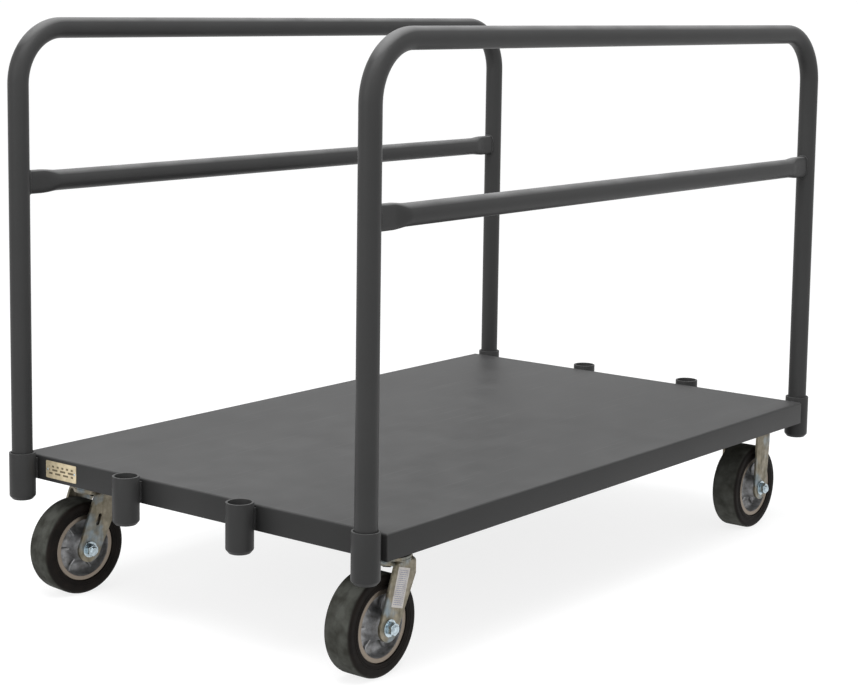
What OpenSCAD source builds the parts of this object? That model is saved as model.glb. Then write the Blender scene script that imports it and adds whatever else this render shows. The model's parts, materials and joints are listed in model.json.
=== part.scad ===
// Steel platform truck with two lift-out side rails, on two swivel and two rigid casters.
// Frame: X runs along the deck, Y across it, Z up. The origin is on the floor under the
// deck's centre. The swivel casters are at the -X end, and their forks trail towards -X.

/* [Deck] */
// Deck length along X, outside of the end flanges
deck_l = 1219.2; // [1000:0.1:1850]
// Deck width across Y, outside of the side flanges
deck_w = 762; // [600:0.1:920]
// Depth of the turned-down flanges, with the deck sheet
flange_h = 39.5; // [34:0.1:60]
// Thickness of the deck sheet
sheet_t = 2.7; // [2:0.1:4]
// Outside radius of the bend between deck and flange
deck_bend_r = 4; // [3.2:0.1:6]

/* [Under the deck] */
// Space between the plate bolts' nuts and the walls of the channel that carries two casters
bolster_play = 6.95; // [3:0.05:30]
// Thickness of the channel steel
bolster_t = 4.8; // [3:0.1:6]
// Distance of each lengthwise stiffener from the centre line
stiffener_y = 127; // [60:1:180]
// Width of each lengthwise stiffener
stiffener_w = 51; // [30:1:70]
// Thickness of the stiffener steel
stiffener_t = 2.7; // [2:0.1:4]
// Depth of the stiffeners
stiffener_h = 32; // [20:1:34]

/* [Sockets] */
// Sockets on each end of the deck
sockets_per_end = 4; // [4]
// Clearance of a post in its socket, on the radius
post_play = 0.825; // [0.4:0.025:2]
// Wall of the socket pipe
socket_wall = 3.575; // [2.5:0.025:6]
// Length of each socket
socket_l = 76.2; // [60:0.1:110]
// Height of the socket tops over the deck
socket_proud = 6; // [1:0.5:20]
// Thickness of the lip that the post stands on
lip_t = 4; // [2:0.5:8]
// How far the socket's bottom end is swaged in, on the radius
swage_in = 5; // [1:0.5:6]
// Height of the swaged end
swage_h = 6; // [3:0.5:12]
// Diameter of the drain hole in the lip
drain_d = 20; // [10:1:24]
// Leg length of the weld fillet beside each socket
weld_leg = 5; // [3:0.5:8]

/* [Side rails] */
// Outside diameter of the rail pipe
rail_od = 33.4; // [27:0.1:42]
// Wall of the rail pipe
rail_wall = 3.4; // [2:0.1:4.5]
// Height of the top rail's centre line over the deck
rail_h = 683; // [500:1:900]
// Height of the middle rail's centre line over the deck
mid_h = 439.5; // [250:0.5:560]
// Centre-line radius of the two bends
bend_r = 89; // [70:1:150]
// How far the middle rail's flattened ends stand over the round pipe, above and below
flat_rise = 2.3; // [0.5:0.1:5]
// Thickness of the middle rail's flattened ends
flat_t = 20; // [12:0.5:30]
// Length of each flattened end
flat_l = 26; // [10:1:60]
// Length over which the pipe turns from round to flat
flat_blend = 34; // [20:1:80]

/* [Wheels] */
// Diameter of the tyre
wheel_d = 152.4; // [125:0.1:205]
// Width of the tyre
tyre_w = 50; // [40:0.5:62]
// Outside diameter of the aluminium core
core_d = 108; // [90:0.5:120]
// How far the core's rim is set in from each side of the tyre
rim_inset = 2.5; // [0.5:0.5:6]
// Radial thickness of the core's rim
rim_t = 8; // [4:0.5:10]
// Thickness of the core's web
web_t = 8; // [5:0.5:14]
// Space between each end of the hub and the fork's leg
hub_play = 0.75; // [0.5:0.05:3]
// Diameter of the hub's boss
hub_d = 40; // [34:0.5:50]
// Diameter of the bearing's seat in the hub
bearing_od = 28; // [24:0.5:32]
// Number of ribs on each side of the web
rib_n = 6; // [3:1:10]
// Thickness of each rib
rib_t = 4.5; // [2:0.5:8]

/* [Casters] */
// Height of the swivel bearing and its plate over the fork's crown
head_h = 22.5; // [20:0.1:30]
// Distance of the casters' centre lines from the deck's side
caster_inset_y = 71.5; // [60:0.5:110]
// Distance of the swivel axes from the end of the deck
swivel_inset_x = 89.6; // [76:0.1:170]
// Distance of the rigid axles from the end of the deck
rigid_inset_x = 81.6; // [76:0.1:170]
// Distance that each swivel wheel trails behind its swivel axis
lead = 39; // [30:0.5:46]
// Angle of the left swivel caster about its swivel axis
swivel_left_deg = -6; // [-90:0.5:90]
// Angle of the right swivel caster about its swivel axis
swivel_right_deg = 0; // [-90:0.5:90]
// Distance from the plate's ends to its bolts' centres, along X
plate_end = 11.1; // [10:0.1:20]
// Distance from the plate's sides to its bolts' centres, across Y
plate_side = 17.45; // [8:0.05:30]
// Plate thickness
plate_t = 6.35; // [5:0.05:8]
// Corner radius of the plate
plate_r = 8; // [3:0.5:12]
// Spacing of the plate's bolts along X
bolt_x = 92.1; // [76:0.1:112]
// Spacing of the plate's bolts across Y
bolt_y = 66.7; // [60:0.1:82]
// Diameter of the plate's bolts
bolt_d = 9.5; // [8:0.1:10]
// Length of the slot that each bolt passes through
slot_l = 18; // [12:0.5:20]

/* [Forks] */
// Space between the tyre and each leg of the fork
tyre_play = 6.5; // [1:0.1:10]
// Thickness of the fork's steel
fork_t = 4.8; // [4:0.1:6]
// Thickness of the swivel fork's crown
crown_t = 6; // [4:0.5:8]
// Diameter of the swivel fork's crown
crown_d = 72; // [60:1:100]
// Space between the tyre and the swivel fork's crown
crown_play = 9.6; // [6:0.1:25]
// Width of the legs at the crown
leg_top_w = 45; // [40:1:60]
// Radius of the legs' lower ends
leg_end_r = 21; // [18:0.5:26]
// Distance of the leg's centre behind the swivel axis, at the crown
leg_top_back = 2.5; // [0:0.5:24]
// Height of the straight part of the leg's other edge, under the crown
leg_drop = 23; // [5:1:40]
// Distance of the rigid leg's centre in front of its axle, at the plate
rigid_top_fore = 6; // [0:0.5:12]
// Outside radius of the bend between crown and legs
fork_bend_r = 6; // [6:0.5:12]
// Length of the slot in each leg
leg_slot_l = 20; // [12:0.5:30]
// Width of the slot in each leg
leg_slot_w = 6.5; // [4:0.5:9]
// Height of the slot's centre over the axle
leg_slot_up = 50; // [40:1:60]

/* [Small parts] */
// Diameter of the axle bolt
axle_d = 12.7; // [10:0.1:14]
// Outside diameter of the sleeve that the bearing runs on
sleeve_od = 19; // [16:0.1:21]
// Diameter of the kingpin
kingpin_d = 12.6; // [10:0.1:14]
// Running clearance of the bearing and the kingpin, on the radius
running_gap = 0.06; // [0.02:0.01:0.1]
// Diameter of the swivel bearing's balls
ball_d = 8; // [6:0.5:9]
// Number of balls in each swivel bearing
ball_n = 18; // [8:1:20]
// Radius of the circle of balls
ball_pcr = 30; // [24:0.5:33]
// Width of the nameplate
name_w = 71; // [50:1:90]
// Height of the nameplate
name_h = 28; // [20:1:34]
// Width of the label on the right fork
label_w = 27; // [14:1:30]
// Length of the label on the right fork
label_l = 58; // [40:1:60]
// Height of the label's centre over the axle
label_up = 54; // [50:0.5:56]
// Distance of the label's centre from the axle, towards the swivel axis
label_back = 24; // [16:1:30]
// Angle that the label leans from the vertical
label_lean = 17; // [10:1:24]

/* [Hidden] */
$fn = 96;
eps = 0.01;            // overrun of a cut past the face that it opens
touch = 0.3;           // least gap between curved faces of different bodies
leg_ease = 0.6;        // how far inside the leg's round end its straight sides meet it

// Widths that follow from what they fit
socket_id = rail_od + 2 * post_play;
socket_od = socket_id + 2 * socket_wall;
flat_h = rail_od + 2 * flat_rise;
rim_w = tyre_w - 2 * rim_inset;
fork_gap = tyre_w + 2 * tyre_play;
hub_w = fork_gap - 2 * hub_play;
plate_l = bolt_x + 2 * plate_end;
plate_w = bolt_y + 2 * plate_side;

// Heights over the floor
crown_z = wheel_d + crown_play + crown_t;
caster_h = crown_z + head_h;
deck_z = caster_h + flange_h;
under_z = deck_z - sheet_t;
socket_top = deck_z + socket_proud;
socket_bottom = socket_top - socket_l;
post_bottom = socket_bottom + lip_t;
rail_z = deck_z + rail_h;
mid_z = deck_z + mid_h;
axle_z = wheel_d / 2;
plate_z = caster_h - plate_t;

// Places along and across the deck
socket_x = (deck_l + socket_od) / 2;
socket_outer_y = (deck_w - socket_od) / 2;
socket_pitch = 2 * socket_outer_y / (sockets_per_end - 1);
swivel_x = -(deck_l / 2 - swivel_inset_x);
rigid_x = deck_l / 2 - rigid_inset_x;
caster_y = deck_w / 2 - caster_inset_y;

// Swivel bearing
race_in_r = ball_pcr - 8.5;
race_out_r = ball_pcr + 5;
race_gap = 4;
ball_z = crown_z + ball_d / 2 + 2;
race_low_top = ball_z - race_gap / 2;
race_high_bottom = ball_z + race_gap / 2;

// Fasteners
washer_t = 1.6;
axle_washer_r = 13;
axle_nut_r = 10;
axle_nut_t = 9;
axle_end = 3;          // thread that shows past the nut
kingpin_nut_r = 11;
kingpin_nut_t = 9;
nut_gap = 0.4;         // space between the kingpin's nut and the turning crown
plate_head_r = 8.2;
plate_head_t = 6;
plate_nut_t = 8;
plate_bolt_end = 2;
bolster_w = bolt_x + 2 * (plate_head_r + bolster_play + bolster_t);
rivet_r = 2;
rivet_t = 1;
badge_t = 0.8;
name_gap = 12;         // space between the nameplate and the corner socket
label_t = 0.3;

// Paint and metal colours
paint = [0.24, 0.24, 0.24];
zinc = [0.62, 0.59, 0.50];
bright = [0.62, 0.68, 0.72];
alloy = [0.60, 0.60, 0.60];
rubber = [0.08, 0.08, 0.07];
steel = [0.30, 0.30, 0.31];
brass_tone = [0.66, 0.60, 0.46];

// ---- shared shapes --------------------------------------------------------------------

// Outline w wide and h high under y = 0, with both top corners rounded to radius r
module top_rounded(w, h, r) {
    translate([-w / 2, -h]) square([w, h - r]);
    translate([-w / 2 + r, -r]) square([w - 2 * r, r]);
    for (side = [-1, 1]) translate([side * (w / 2 - r), -r]) circle(r);
}

// Block l by w by h under z = 0, with its four top edges rounded to radius r
module top_rounded_block(l, w, h, r) {
    intersection() {
        rotate([90, 0, 0]) linear_extrude(w, center = true) top_rounded(l, h, r);
        rotate([90, 0, 90]) linear_extrude(l, center = true) top_rounded(w, h, r);
    }
}

// Plate centred on the origin with rounded corners, from z = 0 up
module rounded_plate(l, w, t, r) {
    linear_extrude(t) {
        square([l - 2 * r, w], center = true);
        square([l, w - 2 * r], center = true);
        for (sx = [-1, 1]) for (sy = [-1, 1])
            translate([sx * (l / 2 - r), sy * (w / 2 - r)]) circle(r);
    }
}

// Straight slot along X, l long over its round ends and w wide, from z = 0 up
module slot(l, w, t) {
    linear_extrude(t) {
        square([l - w, w], center = true);
        for (side = [-1, 1]) translate([side * (l - w) / 2, 0]) circle(w / 2);
    }
}

// Round rod along Y, centred on the origin
module rod_y(r, l) {
    rotate([90, 0, 0]) cylinder(r = r, h = l, center = true);
}

// Point where a line from p touches a circle round c; side is 1 or -1
function touch_point(p, c, r, side) =
    let (d = c - p, a = atan2(d[1], d[0]) + side * asin(r / norm(d)),
        reach = sqrt(norm(d) ^ 2 - r ^ 2))
    p + reach * [cos(a), sin(a)];

// ---- deck -----------------------------------------------------------------------------

module deck_pan() {
    color(paint) translate([0, 0, deck_z]) difference() {
        top_rounded_block(deck_l, deck_w, flange_h, deck_bend_r);
        translate([0, 0, -sheet_t])
            top_rounded_block(deck_l - 2 * sheet_t, deck_w - 2 * sheet_t, flange_h,
                deck_bend_r - sheet_t);
    }
}

// Channel across the deck, open at the top, with holes for two casters' bolts
module bolster(x, caster_x) {
    color(steel) difference() {
        translate([x - bolster_w / 2, -deck_w / 2 + sheet_t, caster_h])
            cube([bolster_w, deck_w - 2 * sheet_t, under_z - caster_h]);
        translate([x - bolster_w / 2 + bolster_t, -deck_w / 2, caster_h + bolster_t])
            cube([bolster_w - 2 * bolster_t, deck_w, flange_h]);
        for (side = [-1, 1]) translate([caster_x, side * caster_y, caster_h - eps])
            at_plate_bolts() cylinder(d = bolt_d, h = bolster_t + 2 * eps);
    }
}

// Lengthwise channel between the two bolsters, welded under the deck
module stiffener(side) {
    x0 = swivel_x + bolster_w / 2;
    x1 = rigid_x - bolster_w / 2;
    color(steel) translate([x0, side * stiffener_y - stiffener_w / 2, under_z - stiffener_h])
        difference() {
            cube([x1 - x0, stiffener_w, stiffener_h]);
            translate([-eps, stiffener_t, stiffener_t])
                cube([x1 - x0 + 2 * eps, stiffener_w - 2 * stiffener_t, stiffener_h]);
        }
}

// Y of a socket, counted from the -Y side
function socket_y(index) = -socket_outer_y + (index - 1) * socket_pitch;

module socket(end, index) {
    color(paint) translate([end * socket_x, socket_y(index), socket_bottom]) difference() {
        union() {
            cylinder(d1 = socket_od - 2 * swage_in, d2 = socket_od, h = swage_h);
            translate([0, 0, swage_h]) cylinder(d = socket_od, h = socket_l - swage_h);
        }
        translate([0, 0, lip_t]) cylinder(d = socket_id, h = socket_l);
        translate([0, 0, -eps]) cylinder(d = drain_d, h = lip_t + 2 * eps);
    }
}

// Two fillets that join each socket of one end to the flange
module socket_welds(end) {
    color(paint) for (index = [1 : sockets_per_end], side = [-1, 1])
        if (abs(socket_y(index) + side * socket_od / 2) < deck_w / 2 - weld_leg)
            socket_weld(end, index, side);
}

module socket_weld(end, index, side) {
    reach = weld_leg * 2;
    translate([end * deck_l / 2, socket_y(index), deck_z - flange_h]) difference() {
        linear_extrude(flange_h - deck_bend_r)
            polygon([[0, side * eps], [0, side * (reach + weld_leg)],
                [end * weld_leg * 0.6, side * reach]]);
        translate([end * socket_od / 2, 0, -eps]) cylinder(d = socket_od, h = flange_h);
    }
}

// Blank nameplate on the swivel end's flange, near the left corner
name_y = socket_outer_y - socket_od / 2 - name_gap - name_w / 2;
name_z = deck_z - deck_bend_r - name_h / 2 - 1.5;

module nameplate() {
    color(brass_tone) translate([-deck_l / 2, name_y, name_z])
        rotate([90, 0, -90]) rounded_plate(name_w, name_h, badge_t, 2);
}

module nameplate_rivets() {
    color(bright) for (side = [-1, 1])
        translate([-deck_l / 2 - badge_t, name_y + side * (name_w / 2 - 2 * rivet_r), name_z])
            rotate([0, -90, 0]) cylinder(r1 = rivet_r, r2 = rivet_r * 0.7, h = rivet_t);
}

// ---- side rails -----------------------------------------------------------------------

// Solid inverted U of round bar, on the centre line of the rail pipe
module hoop_bar(r, bottom) {
    straight = rail_z - bend_r;
    for (end = [-1, 1]) {
        translate([end * socket_x, 0, bottom]) cylinder(r = r, h = straight - bottom);
        translate([end * (socket_x - bend_r), 0, straight]) rotate([90, 0, 0])
            mirror([end < 0 ? 1 : 0, 0, 0])
                rotate_extrude(angle = 90) translate([bend_r, 0]) circle(r);
    }
    translate([-(socket_x - bend_r), 0, rail_z]) rotate([0, 90, 0])
        cylinder(r = r, h = 2 * (socket_x - bend_r));
}

module rail_hoop(side) {
    color(paint) translate([0, side * socket_outer_y, 0]) difference() {
        hoop_bar(rail_od / 2, post_bottom);
        hoop_bar(rail_od / 2 - rail_wall, post_bottom - eps);
    }
}

// Middle rail: round pipe whose ends taper to flat tongues, fitted round the posts
module rail_middle(side) {
    round_half = socket_x - rail_od / 2 - flat_l - flat_blend;
    color(paint) translate([0, side * socket_outer_y, mid_z]) difference() {
        union() {
            rotate([0, 90, 0]) cylinder(d = rail_od, h = 2 * round_half, center = true);
            for (end = [-1, 1]) rotate([0, 0, end < 0 ? 180 : 0]) {
                translate([round_half, 0, 0]) rotate([0, 90, 0])
                    cylinder(d1 = rail_od, d2 = flat_t * 0.9, h = flat_blend);
                translate([round_half + flat_blend / 3, 0, 0])
                    tongue(socket_x - round_half - flat_blend / 3);
            }
        }
        for (end = [-1, 1]) translate([end * socket_x, 0, 0])
            cylinder(d = rail_od, h = 2 * flat_h, center = true);
        rotate([0, 90, 0])
            cylinder(r = rail_od / 2 - rail_wall, h = 2 * round_half, center = true);
    }
}

// Pressed-flat end of the middle rail, from x = 0 along +X, with round top and bottom
module tongue(l) {
    rotate([90, 0, 90]) linear_extrude(l) {
        square([flat_t, flat_h - flat_t], center = true);
        for (up = [-1, 1]) translate([0, up * (flat_h - flat_t) / 2]) circle(d = flat_t);
    }
}

// ---- casters --------------------------------------------------------------------------

// Puts a swivel caster's turning parts at its axis and angle; side is 1 for left
module at_swivel(side) {
    translate([swivel_x, side * caster_y, 0])
        rotate([0, 0, side > 0 ? swivel_left_deg : swivel_right_deg]) children();
}

// Puts a swivel caster's wheel at its axle
module at_swivel_axle(side) {
    at_swivel(side) translate([-lead, 0, axle_z]) children();
}

module at_rigid_axle(side) {
    translate([rigid_x, side * caster_y, axle_z]) children();
}

module at_plate_bolts() {
    for (sx = [-1, 1]) for (sy = [-1, 1])
        translate([sx * bolt_x / 2, sy * bolt_y / 2, 0]) children();
}

// Plate blank with its four slots, its top face at caster_h
module plate_blank() {
    translate([0, 0, plate_z]) difference() {
        rounded_plate(plate_l, plate_w, plate_t, plate_r);
        translate([0, 0, -eps]) at_plate_bolts() slot(slot_l, bolt_d, plate_t + 2 * eps);
    }
}

// Ring of rectangular section round the Z axis
module ring(r_in, r_out, z0, z1) {
    translate([0, 0, z0]) difference() {
        cylinder(r = r_out, h = z1 - z0);
        translate([0, 0, -eps]) cylinder(r = r_in, h = z1 - z0 + 2 * eps);
    }
}

// Groove that the balls run in
module ball_groove(gap) {
    translate([0, 0, ball_z]) rotate_extrude() translate([ball_pcr, 0])
        circle(ball_d / 2 + gap, $fn = 48);
}

module swivel_plate(side) {
    color(zinc) translate([swivel_x, side * caster_y, 0]) difference() {
        union() {
            plate_blank();
            ring(race_in_r, race_out_r, race_high_bottom, plate_z);
        }
        ball_groove(running_gap);
        translate([0, 0, plate_z - eps]) cylinder(d = kingpin_d, h = plate_t + 2 * eps);
    }
}

module swivel_balls(side) {
    color(bright) translate([swivel_x, side * caster_y, ball_z])
        for (i = [0 : ball_n - 1]) rotate([0, 0, i * 360 / ball_n])
            translate([ball_pcr, 0, 0]) sphere(d = ball_d, $fn = 32);
}

// Kingpin with the nut that holds the crown up
module swivel_kingpin(side) {
    nut_top = crown_z - crown_t - nut_gap;
    color(bright) translate([swivel_x, side * caster_y, 0]) {
        translate([0, 0, nut_top - kingpin_nut_t])
            cylinder(d = kingpin_d, h = caster_h - nut_top + kingpin_nut_t);
        translate([0, 0, nut_top - kingpin_nut_t])
            cylinder(r = kingpin_nut_r, h = kingpin_nut_t, $fn = 6);
    }
}

module plate_bolts(x, side) {
    top = caster_h + bolster_t;
    color(bright) translate([x, side * caster_y, 0]) at_plate_bolts() {
        translate([0, 0, plate_z - plate_head_t])
            cylinder(r = plate_head_r, h = plate_head_t, $fn = 6);
        translate([0, 0, plate_z])
            cylinder(d = bolt_d, h = top + plate_nut_t + plate_bolt_end - plate_z);
        translate([0, 0, top]) cylinder(r = plate_head_r, h = plate_nut_t, $fn = 6);
    }
}

// Inverted U across Y, its top at z = 0, long enough along X for any leg
module fork_channel(top, h) {
    outer = fork_gap + 2 * fork_t;
    translate([0, 0, top]) rotate([90, 0, 90]) linear_extrude(4 * leg_top_w, center = true)
        difference() {
            top_rounded(outer, h, fork_bend_r);
            translate([0, -fork_t]) top_rounded(fork_gap, h, fork_bend_r - fork_t);
        }
}

// Block with the side outline of the legs, from the top edge down round the axle
module leg_outline(top, top_x, axle_x) {
    axle = [axle_x, axle_z];
    inner_r = leg_end_r - leg_ease;
    front = [top_x - leg_top_w / 2, top];
    back = [top_x + leg_top_w / 2, top];
    knee = back - [0, leg_drop];
    rotate([90, 0, 0]) linear_extrude(2 * fork_gap, center = true)
        polygon([front, back, knee, touch_point(knee, axle, inner_r, 1),
            axle - [0, leg_end_r / 2], touch_point(front, axle, inner_r, -1)]);
    translate([axle_x, 0, axle_z]) rod_y(leg_end_r, 2 * fork_gap);
}

// The two legs and the strip that joins them over the wheel
module fork_legs(top, top_x, axle_x) {
    intersection() {
        fork_channel(top, top);
        leg_outline(top, top_x, axle_x);
    }
}

module axle_bore() {
    translate([0, 0, axle_z]) rod_y(axle_d / 2, 3 * fork_gap);
}

// Slot through both legs of a swivel fork, on the line from the axle to the leg's top
module leg_slot(top, top_x, axle_x) {
    tilt = atan2(top_x - axle_x, top - axle_z);
    translate([axle_x, fork_gap, axle_z]) rotate([0, tilt, 0])
        translate([0, 0, leg_slot_up]) rotate([90, 90, 0])
            slot(leg_slot_l, leg_slot_w, 2 * fork_gap);
}

module swivel_fork(side) {
    color(zinc) at_swivel(side) difference() {
        union() {
            fork_legs(crown_z, -leg_top_back, -lead);
            translate([0, 0, crown_z - crown_t]) cylinder(d = crown_d, h = crown_t);
            ring(race_in_r, race_out_r, crown_z - eps, race_low_top);
        }
        ball_groove(touch);
        translate([0, 0, crown_z - crown_t - eps])
            cylinder(r = kingpin_d / 2 + running_gap, h = crown_t + 2 * eps);
        translate([-lead, 0, 0]) axle_bore();
        leg_slot(crown_z, -leg_top_back, -lead);
    }
}

module rigid_plate(side) {
    color(zinc) translate([rigid_x, side * caster_y, 0]) plate_blank();
}

module rigid_fork(side) {
    color(zinc) translate([rigid_x, side * caster_y, 0]) difference() {
        fork_legs(plate_z, rigid_top_fore, 0);
        axle_bore();
    }
}

// Axle bolt along Y with its head, its nut and two washers; the nut is on the -Y side
module axle() {
    face = fork_gap / 2 + fork_t;
    color(bright) rotate([90, 0, 0]) {
        translate([0, 0, -face - washer_t - axle_nut_t + 1])
            cylinder(r = axle_nut_r, h = axle_nut_t - 1, $fn = 6);
        translate([0, 0, -face - washer_t])
            cylinder(d = axle_d, h = 2 * face + 2 * washer_t + axle_nut_t + axle_end);
        for (z = [-face - washer_t, face])
            translate([0, 0, z]) cylinder(r = axle_washer_r, h = washer_t);
        translate([0, 0, face + washer_t])
            cylinder(r = axle_nut_r, h = axle_nut_t, $fn = 6);
    }
}

// Sleeve clamped between the legs, which the bearing turns on
module sleeve() {
    color(bright) difference() {
        rod_y(sleeve_od / 2, fork_gap);
        rod_y(axle_d / 2, fork_gap + 2 * eps);
    }
}

// Roller bearing pressed into the hub
module bearing() {
    color(steel) difference() {
        rod_y(bearing_od / 2, hub_w);
        rod_y(sleeve_od / 2 + running_gap, hub_w + 2 * eps);
    }
}

// Half of the core's section, radius along x and half width along y
function core_half() = [
    [bearing_od / 2, 0], [bearing_od / 2, hub_w / 2], [hub_d / 2 - 2, hub_w / 2],
    [hub_d / 2 + 1, hub_w / 2 - 8], [hub_d / 2 + 7, web_t / 2 + 3], [hub_d / 2 + 10, web_t / 2],
    [core_d / 2 - rim_t - 4, web_t / 2], [core_d / 2 - rim_t - 1.5, web_t / 2 + 3],
    [core_d / 2 - rim_t, rim_w / 2 - 1], [core_d / 2 - rim_t + 1, rim_w / 2],
    [core_d / 2, rim_w / 2], [core_d / 2, 0]];

module core() {
    color(alloy) rotate([90, 0, 0]) union() {
        for (side = [0, 1]) mirror([0, 0, side]) {
            rotate_extrude() polygon(core_half());
            for (i = [0 : rib_n - 1]) rotate([0, 0, (i + 0.5 * side) * 360 / rib_n])
                rib();
        }
    }
}

// One rib, sloping from the hub down to the rim
module rib() {
    r0 = hub_d / 2 - 1;
    r1 = core_d / 2 - rim_t + 1;
    rotate([90, 0, 0]) linear_extrude(rib_t, center = true)
        polygon([[r0, web_t / 4], [r0, hub_w / 2 - 9], [r1, rim_w / 2 - 6], [r1, web_t / 4]]);
}

// Rubber tyre moulded on the core, with rounded shoulders
module tyre() {
    shoulder = 7;
    half = tyre_w / 2;
    color(rubber) rotate([90, 0, 0]) rotate_extrude() difference() {
        union() {
            translate([core_d / 2, -rim_w / 2]) square([3, rim_w]);
            translate([core_d / 2 + 3, -half + 0.5])
                square([wheel_d / 2 - core_d / 2 - 3 - shoulder, tyre_w - 1]);
            translate([core_d / 2 + 3, -half + shoulder])
                square([wheel_d / 2 - core_d / 2 - 3, tyre_w - 2 * shoulder]);
            for (side = [-1, 1])
                translate([wheel_d / 2 - shoulder, side * (half - shoulder)]) circle(shoulder);
        }
    }
}

// Printed label on the right swivel fork's outer leg
module swivel_right_label() {
    color([0.75, 0.75, 0.73]) at_swivel(-1)
        translate([label_back - lead, -fork_gap / 2 - fork_t, axle_z + label_up])
            rotate([90, label_lean, 0]) rounded_plate(label_w, label_l, label_t, 1);
}

// ---- every piece by its name ----------------------------------------------------------

deck_pan();
bolster(swivel_x, swivel_x);  // bolster_swivel
bolster(rigid_x, rigid_x);  // bolster_rigid
stiffener(1);  // stiffener_left
stiffener(-1);  // stiffener_right
socket(-1, 1);  // socket_swivel_1
socket(-1, 2);  // socket_swivel_2
socket(-1, 3);  // socket_swivel_3
socket(-1, 4);  // socket_swivel_4
socket(1, 1);  // socket_rigid_1
socket(1, 2);  // socket_rigid_2
socket(1, 3);  // socket_rigid_3
socket(1, 4);  // socket_rigid_4
socket_welds(-1);  // socket_welds_swivel
socket_welds(1);  // socket_welds_rigid
nameplate();
nameplate_rivets();
rail_hoop(1);  // rail_left_hoop
rail_middle(1);  // rail_left_middle
rail_hoop(-1);  // rail_right_hoop
rail_middle(-1);  // rail_right_middle
swivel_plate(1);  // swivel_left_plate
plate_bolts(swivel_x, 1);  // swivel_left_bolts
swivel_kingpin(1);  // swivel_left_kingpin
swivel_balls(1);  // swivel_left_balls
swivel_fork(1);  // swivel_left_fork
at_swivel_axle(1) axle();  // swivel_left_axle
at_swivel_axle(1) sleeve();  // swivel_left_sleeve
at_swivel_axle(1) bearing();  // swivel_left_bearing
at_swivel_axle(1) core();  // swivel_left_core
at_swivel_axle(1) tyre();  // swivel_left_tyre
swivel_plate(-1);  // swivel_right_plate
plate_bolts(swivel_x, -1);  // swivel_right_bolts
swivel_kingpin(-1);  // swivel_right_kingpin
swivel_balls(-1);  // swivel_right_balls
swivel_fork(-1);  // swivel_right_fork
at_swivel_axle(-1) axle();  // swivel_right_axle
at_swivel_axle(-1) sleeve();  // swivel_right_sleeve
at_swivel_axle(-1) bearing();  // swivel_right_bearing
at_swivel_axle(-1) core();  // swivel_right_core
at_swivel_axle(-1) tyre();  // swivel_right_tyre
swivel_right_label();
rigid_plate(1);  // rigid_left_plate
plate_bolts(rigid_x, 1);  // rigid_left_bolts
rigid_fork(1);  // rigid_left_fork
at_rigid_axle(1) axle();  // rigid_left_axle
at_rigid_axle(1) sleeve();  // rigid_left_sleeve
at_rigid_axle(1) bearing();  // rigid_left_bearing
at_rigid_axle(1) core();  // rigid_left_core
at_rigid_axle(1) tyre();  // rigid_left_tyre
rigid_plate(-1);  // rigid_right_plate
plate_bolts(rigid_x, -1);  // rigid_right_bolts
rigid_fork(-1);  // rigid_right_fork
at_rigid_axle(-1) axle();  // rigid_right_axle
at_rigid_axle(-1) sleeve();  // rigid_right_sleeve
at_rigid_axle(-1) bearing();  // rigid_right_bearing
at_rigid_axle(-1) core();  // rigid_right_core
at_rigid_axle(-1) tyre();  // rigid_right_tyre
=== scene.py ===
"""Visual model of a steel platform truck with two lift-out rails, built round its frame."""
import json
import logging
import math
from collections.abc import Iterable, Sequence
from dataclasses import dataclass
from enum import Enum

import bmesh
import bpy
from mathutils import Matrix, Vector

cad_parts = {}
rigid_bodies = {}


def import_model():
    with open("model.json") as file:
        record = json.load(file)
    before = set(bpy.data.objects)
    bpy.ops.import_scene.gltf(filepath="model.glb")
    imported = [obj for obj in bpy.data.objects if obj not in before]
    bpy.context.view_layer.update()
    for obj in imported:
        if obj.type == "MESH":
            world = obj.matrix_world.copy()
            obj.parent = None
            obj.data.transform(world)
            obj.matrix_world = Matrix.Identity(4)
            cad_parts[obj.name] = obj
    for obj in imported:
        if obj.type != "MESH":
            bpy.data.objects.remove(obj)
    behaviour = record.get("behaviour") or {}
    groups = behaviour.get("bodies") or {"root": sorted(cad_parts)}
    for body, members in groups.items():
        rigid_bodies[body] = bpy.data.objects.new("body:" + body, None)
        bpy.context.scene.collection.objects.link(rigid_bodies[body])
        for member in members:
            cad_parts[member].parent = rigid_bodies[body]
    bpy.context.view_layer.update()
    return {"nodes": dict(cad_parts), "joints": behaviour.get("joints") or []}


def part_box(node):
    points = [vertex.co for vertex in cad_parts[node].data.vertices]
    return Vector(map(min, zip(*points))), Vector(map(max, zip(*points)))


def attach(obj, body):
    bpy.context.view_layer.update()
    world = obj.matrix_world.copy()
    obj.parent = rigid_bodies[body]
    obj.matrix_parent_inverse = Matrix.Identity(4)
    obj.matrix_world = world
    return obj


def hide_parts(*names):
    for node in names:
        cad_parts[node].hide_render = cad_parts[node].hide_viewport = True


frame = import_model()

log = logging.getLogger("platform_truck")
MM = 0.001
Point2 = tuple[float, float]
Ring = list[Vector]


# ---- colours and nodes ----------------------------------------------------------------


def linear(code: str) -> tuple[float, float, float, float]:
    """Turn an sRGB hex colour into linear values.

    Args:
        code: six hex digits, such as "4b4b4b".

    Returns:
        Linear red, green and blue, with an alpha of one.
    """
    parts = [int(code[i : i + 2], 16) / 255 for i in (0, 2, 4)]
    bent = [c / 12.92 if c <= 0.04045 else ((c + 0.055) / 1.055) ** 2.4 for c in parts]
    return (bent[0], bent[1], bent[2], 1.0)


def per_metre(size_mm: float) -> float:
    """Return the texture scale at which one feature is size_mm across."""
    return 1000.0 / size_mm


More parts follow.
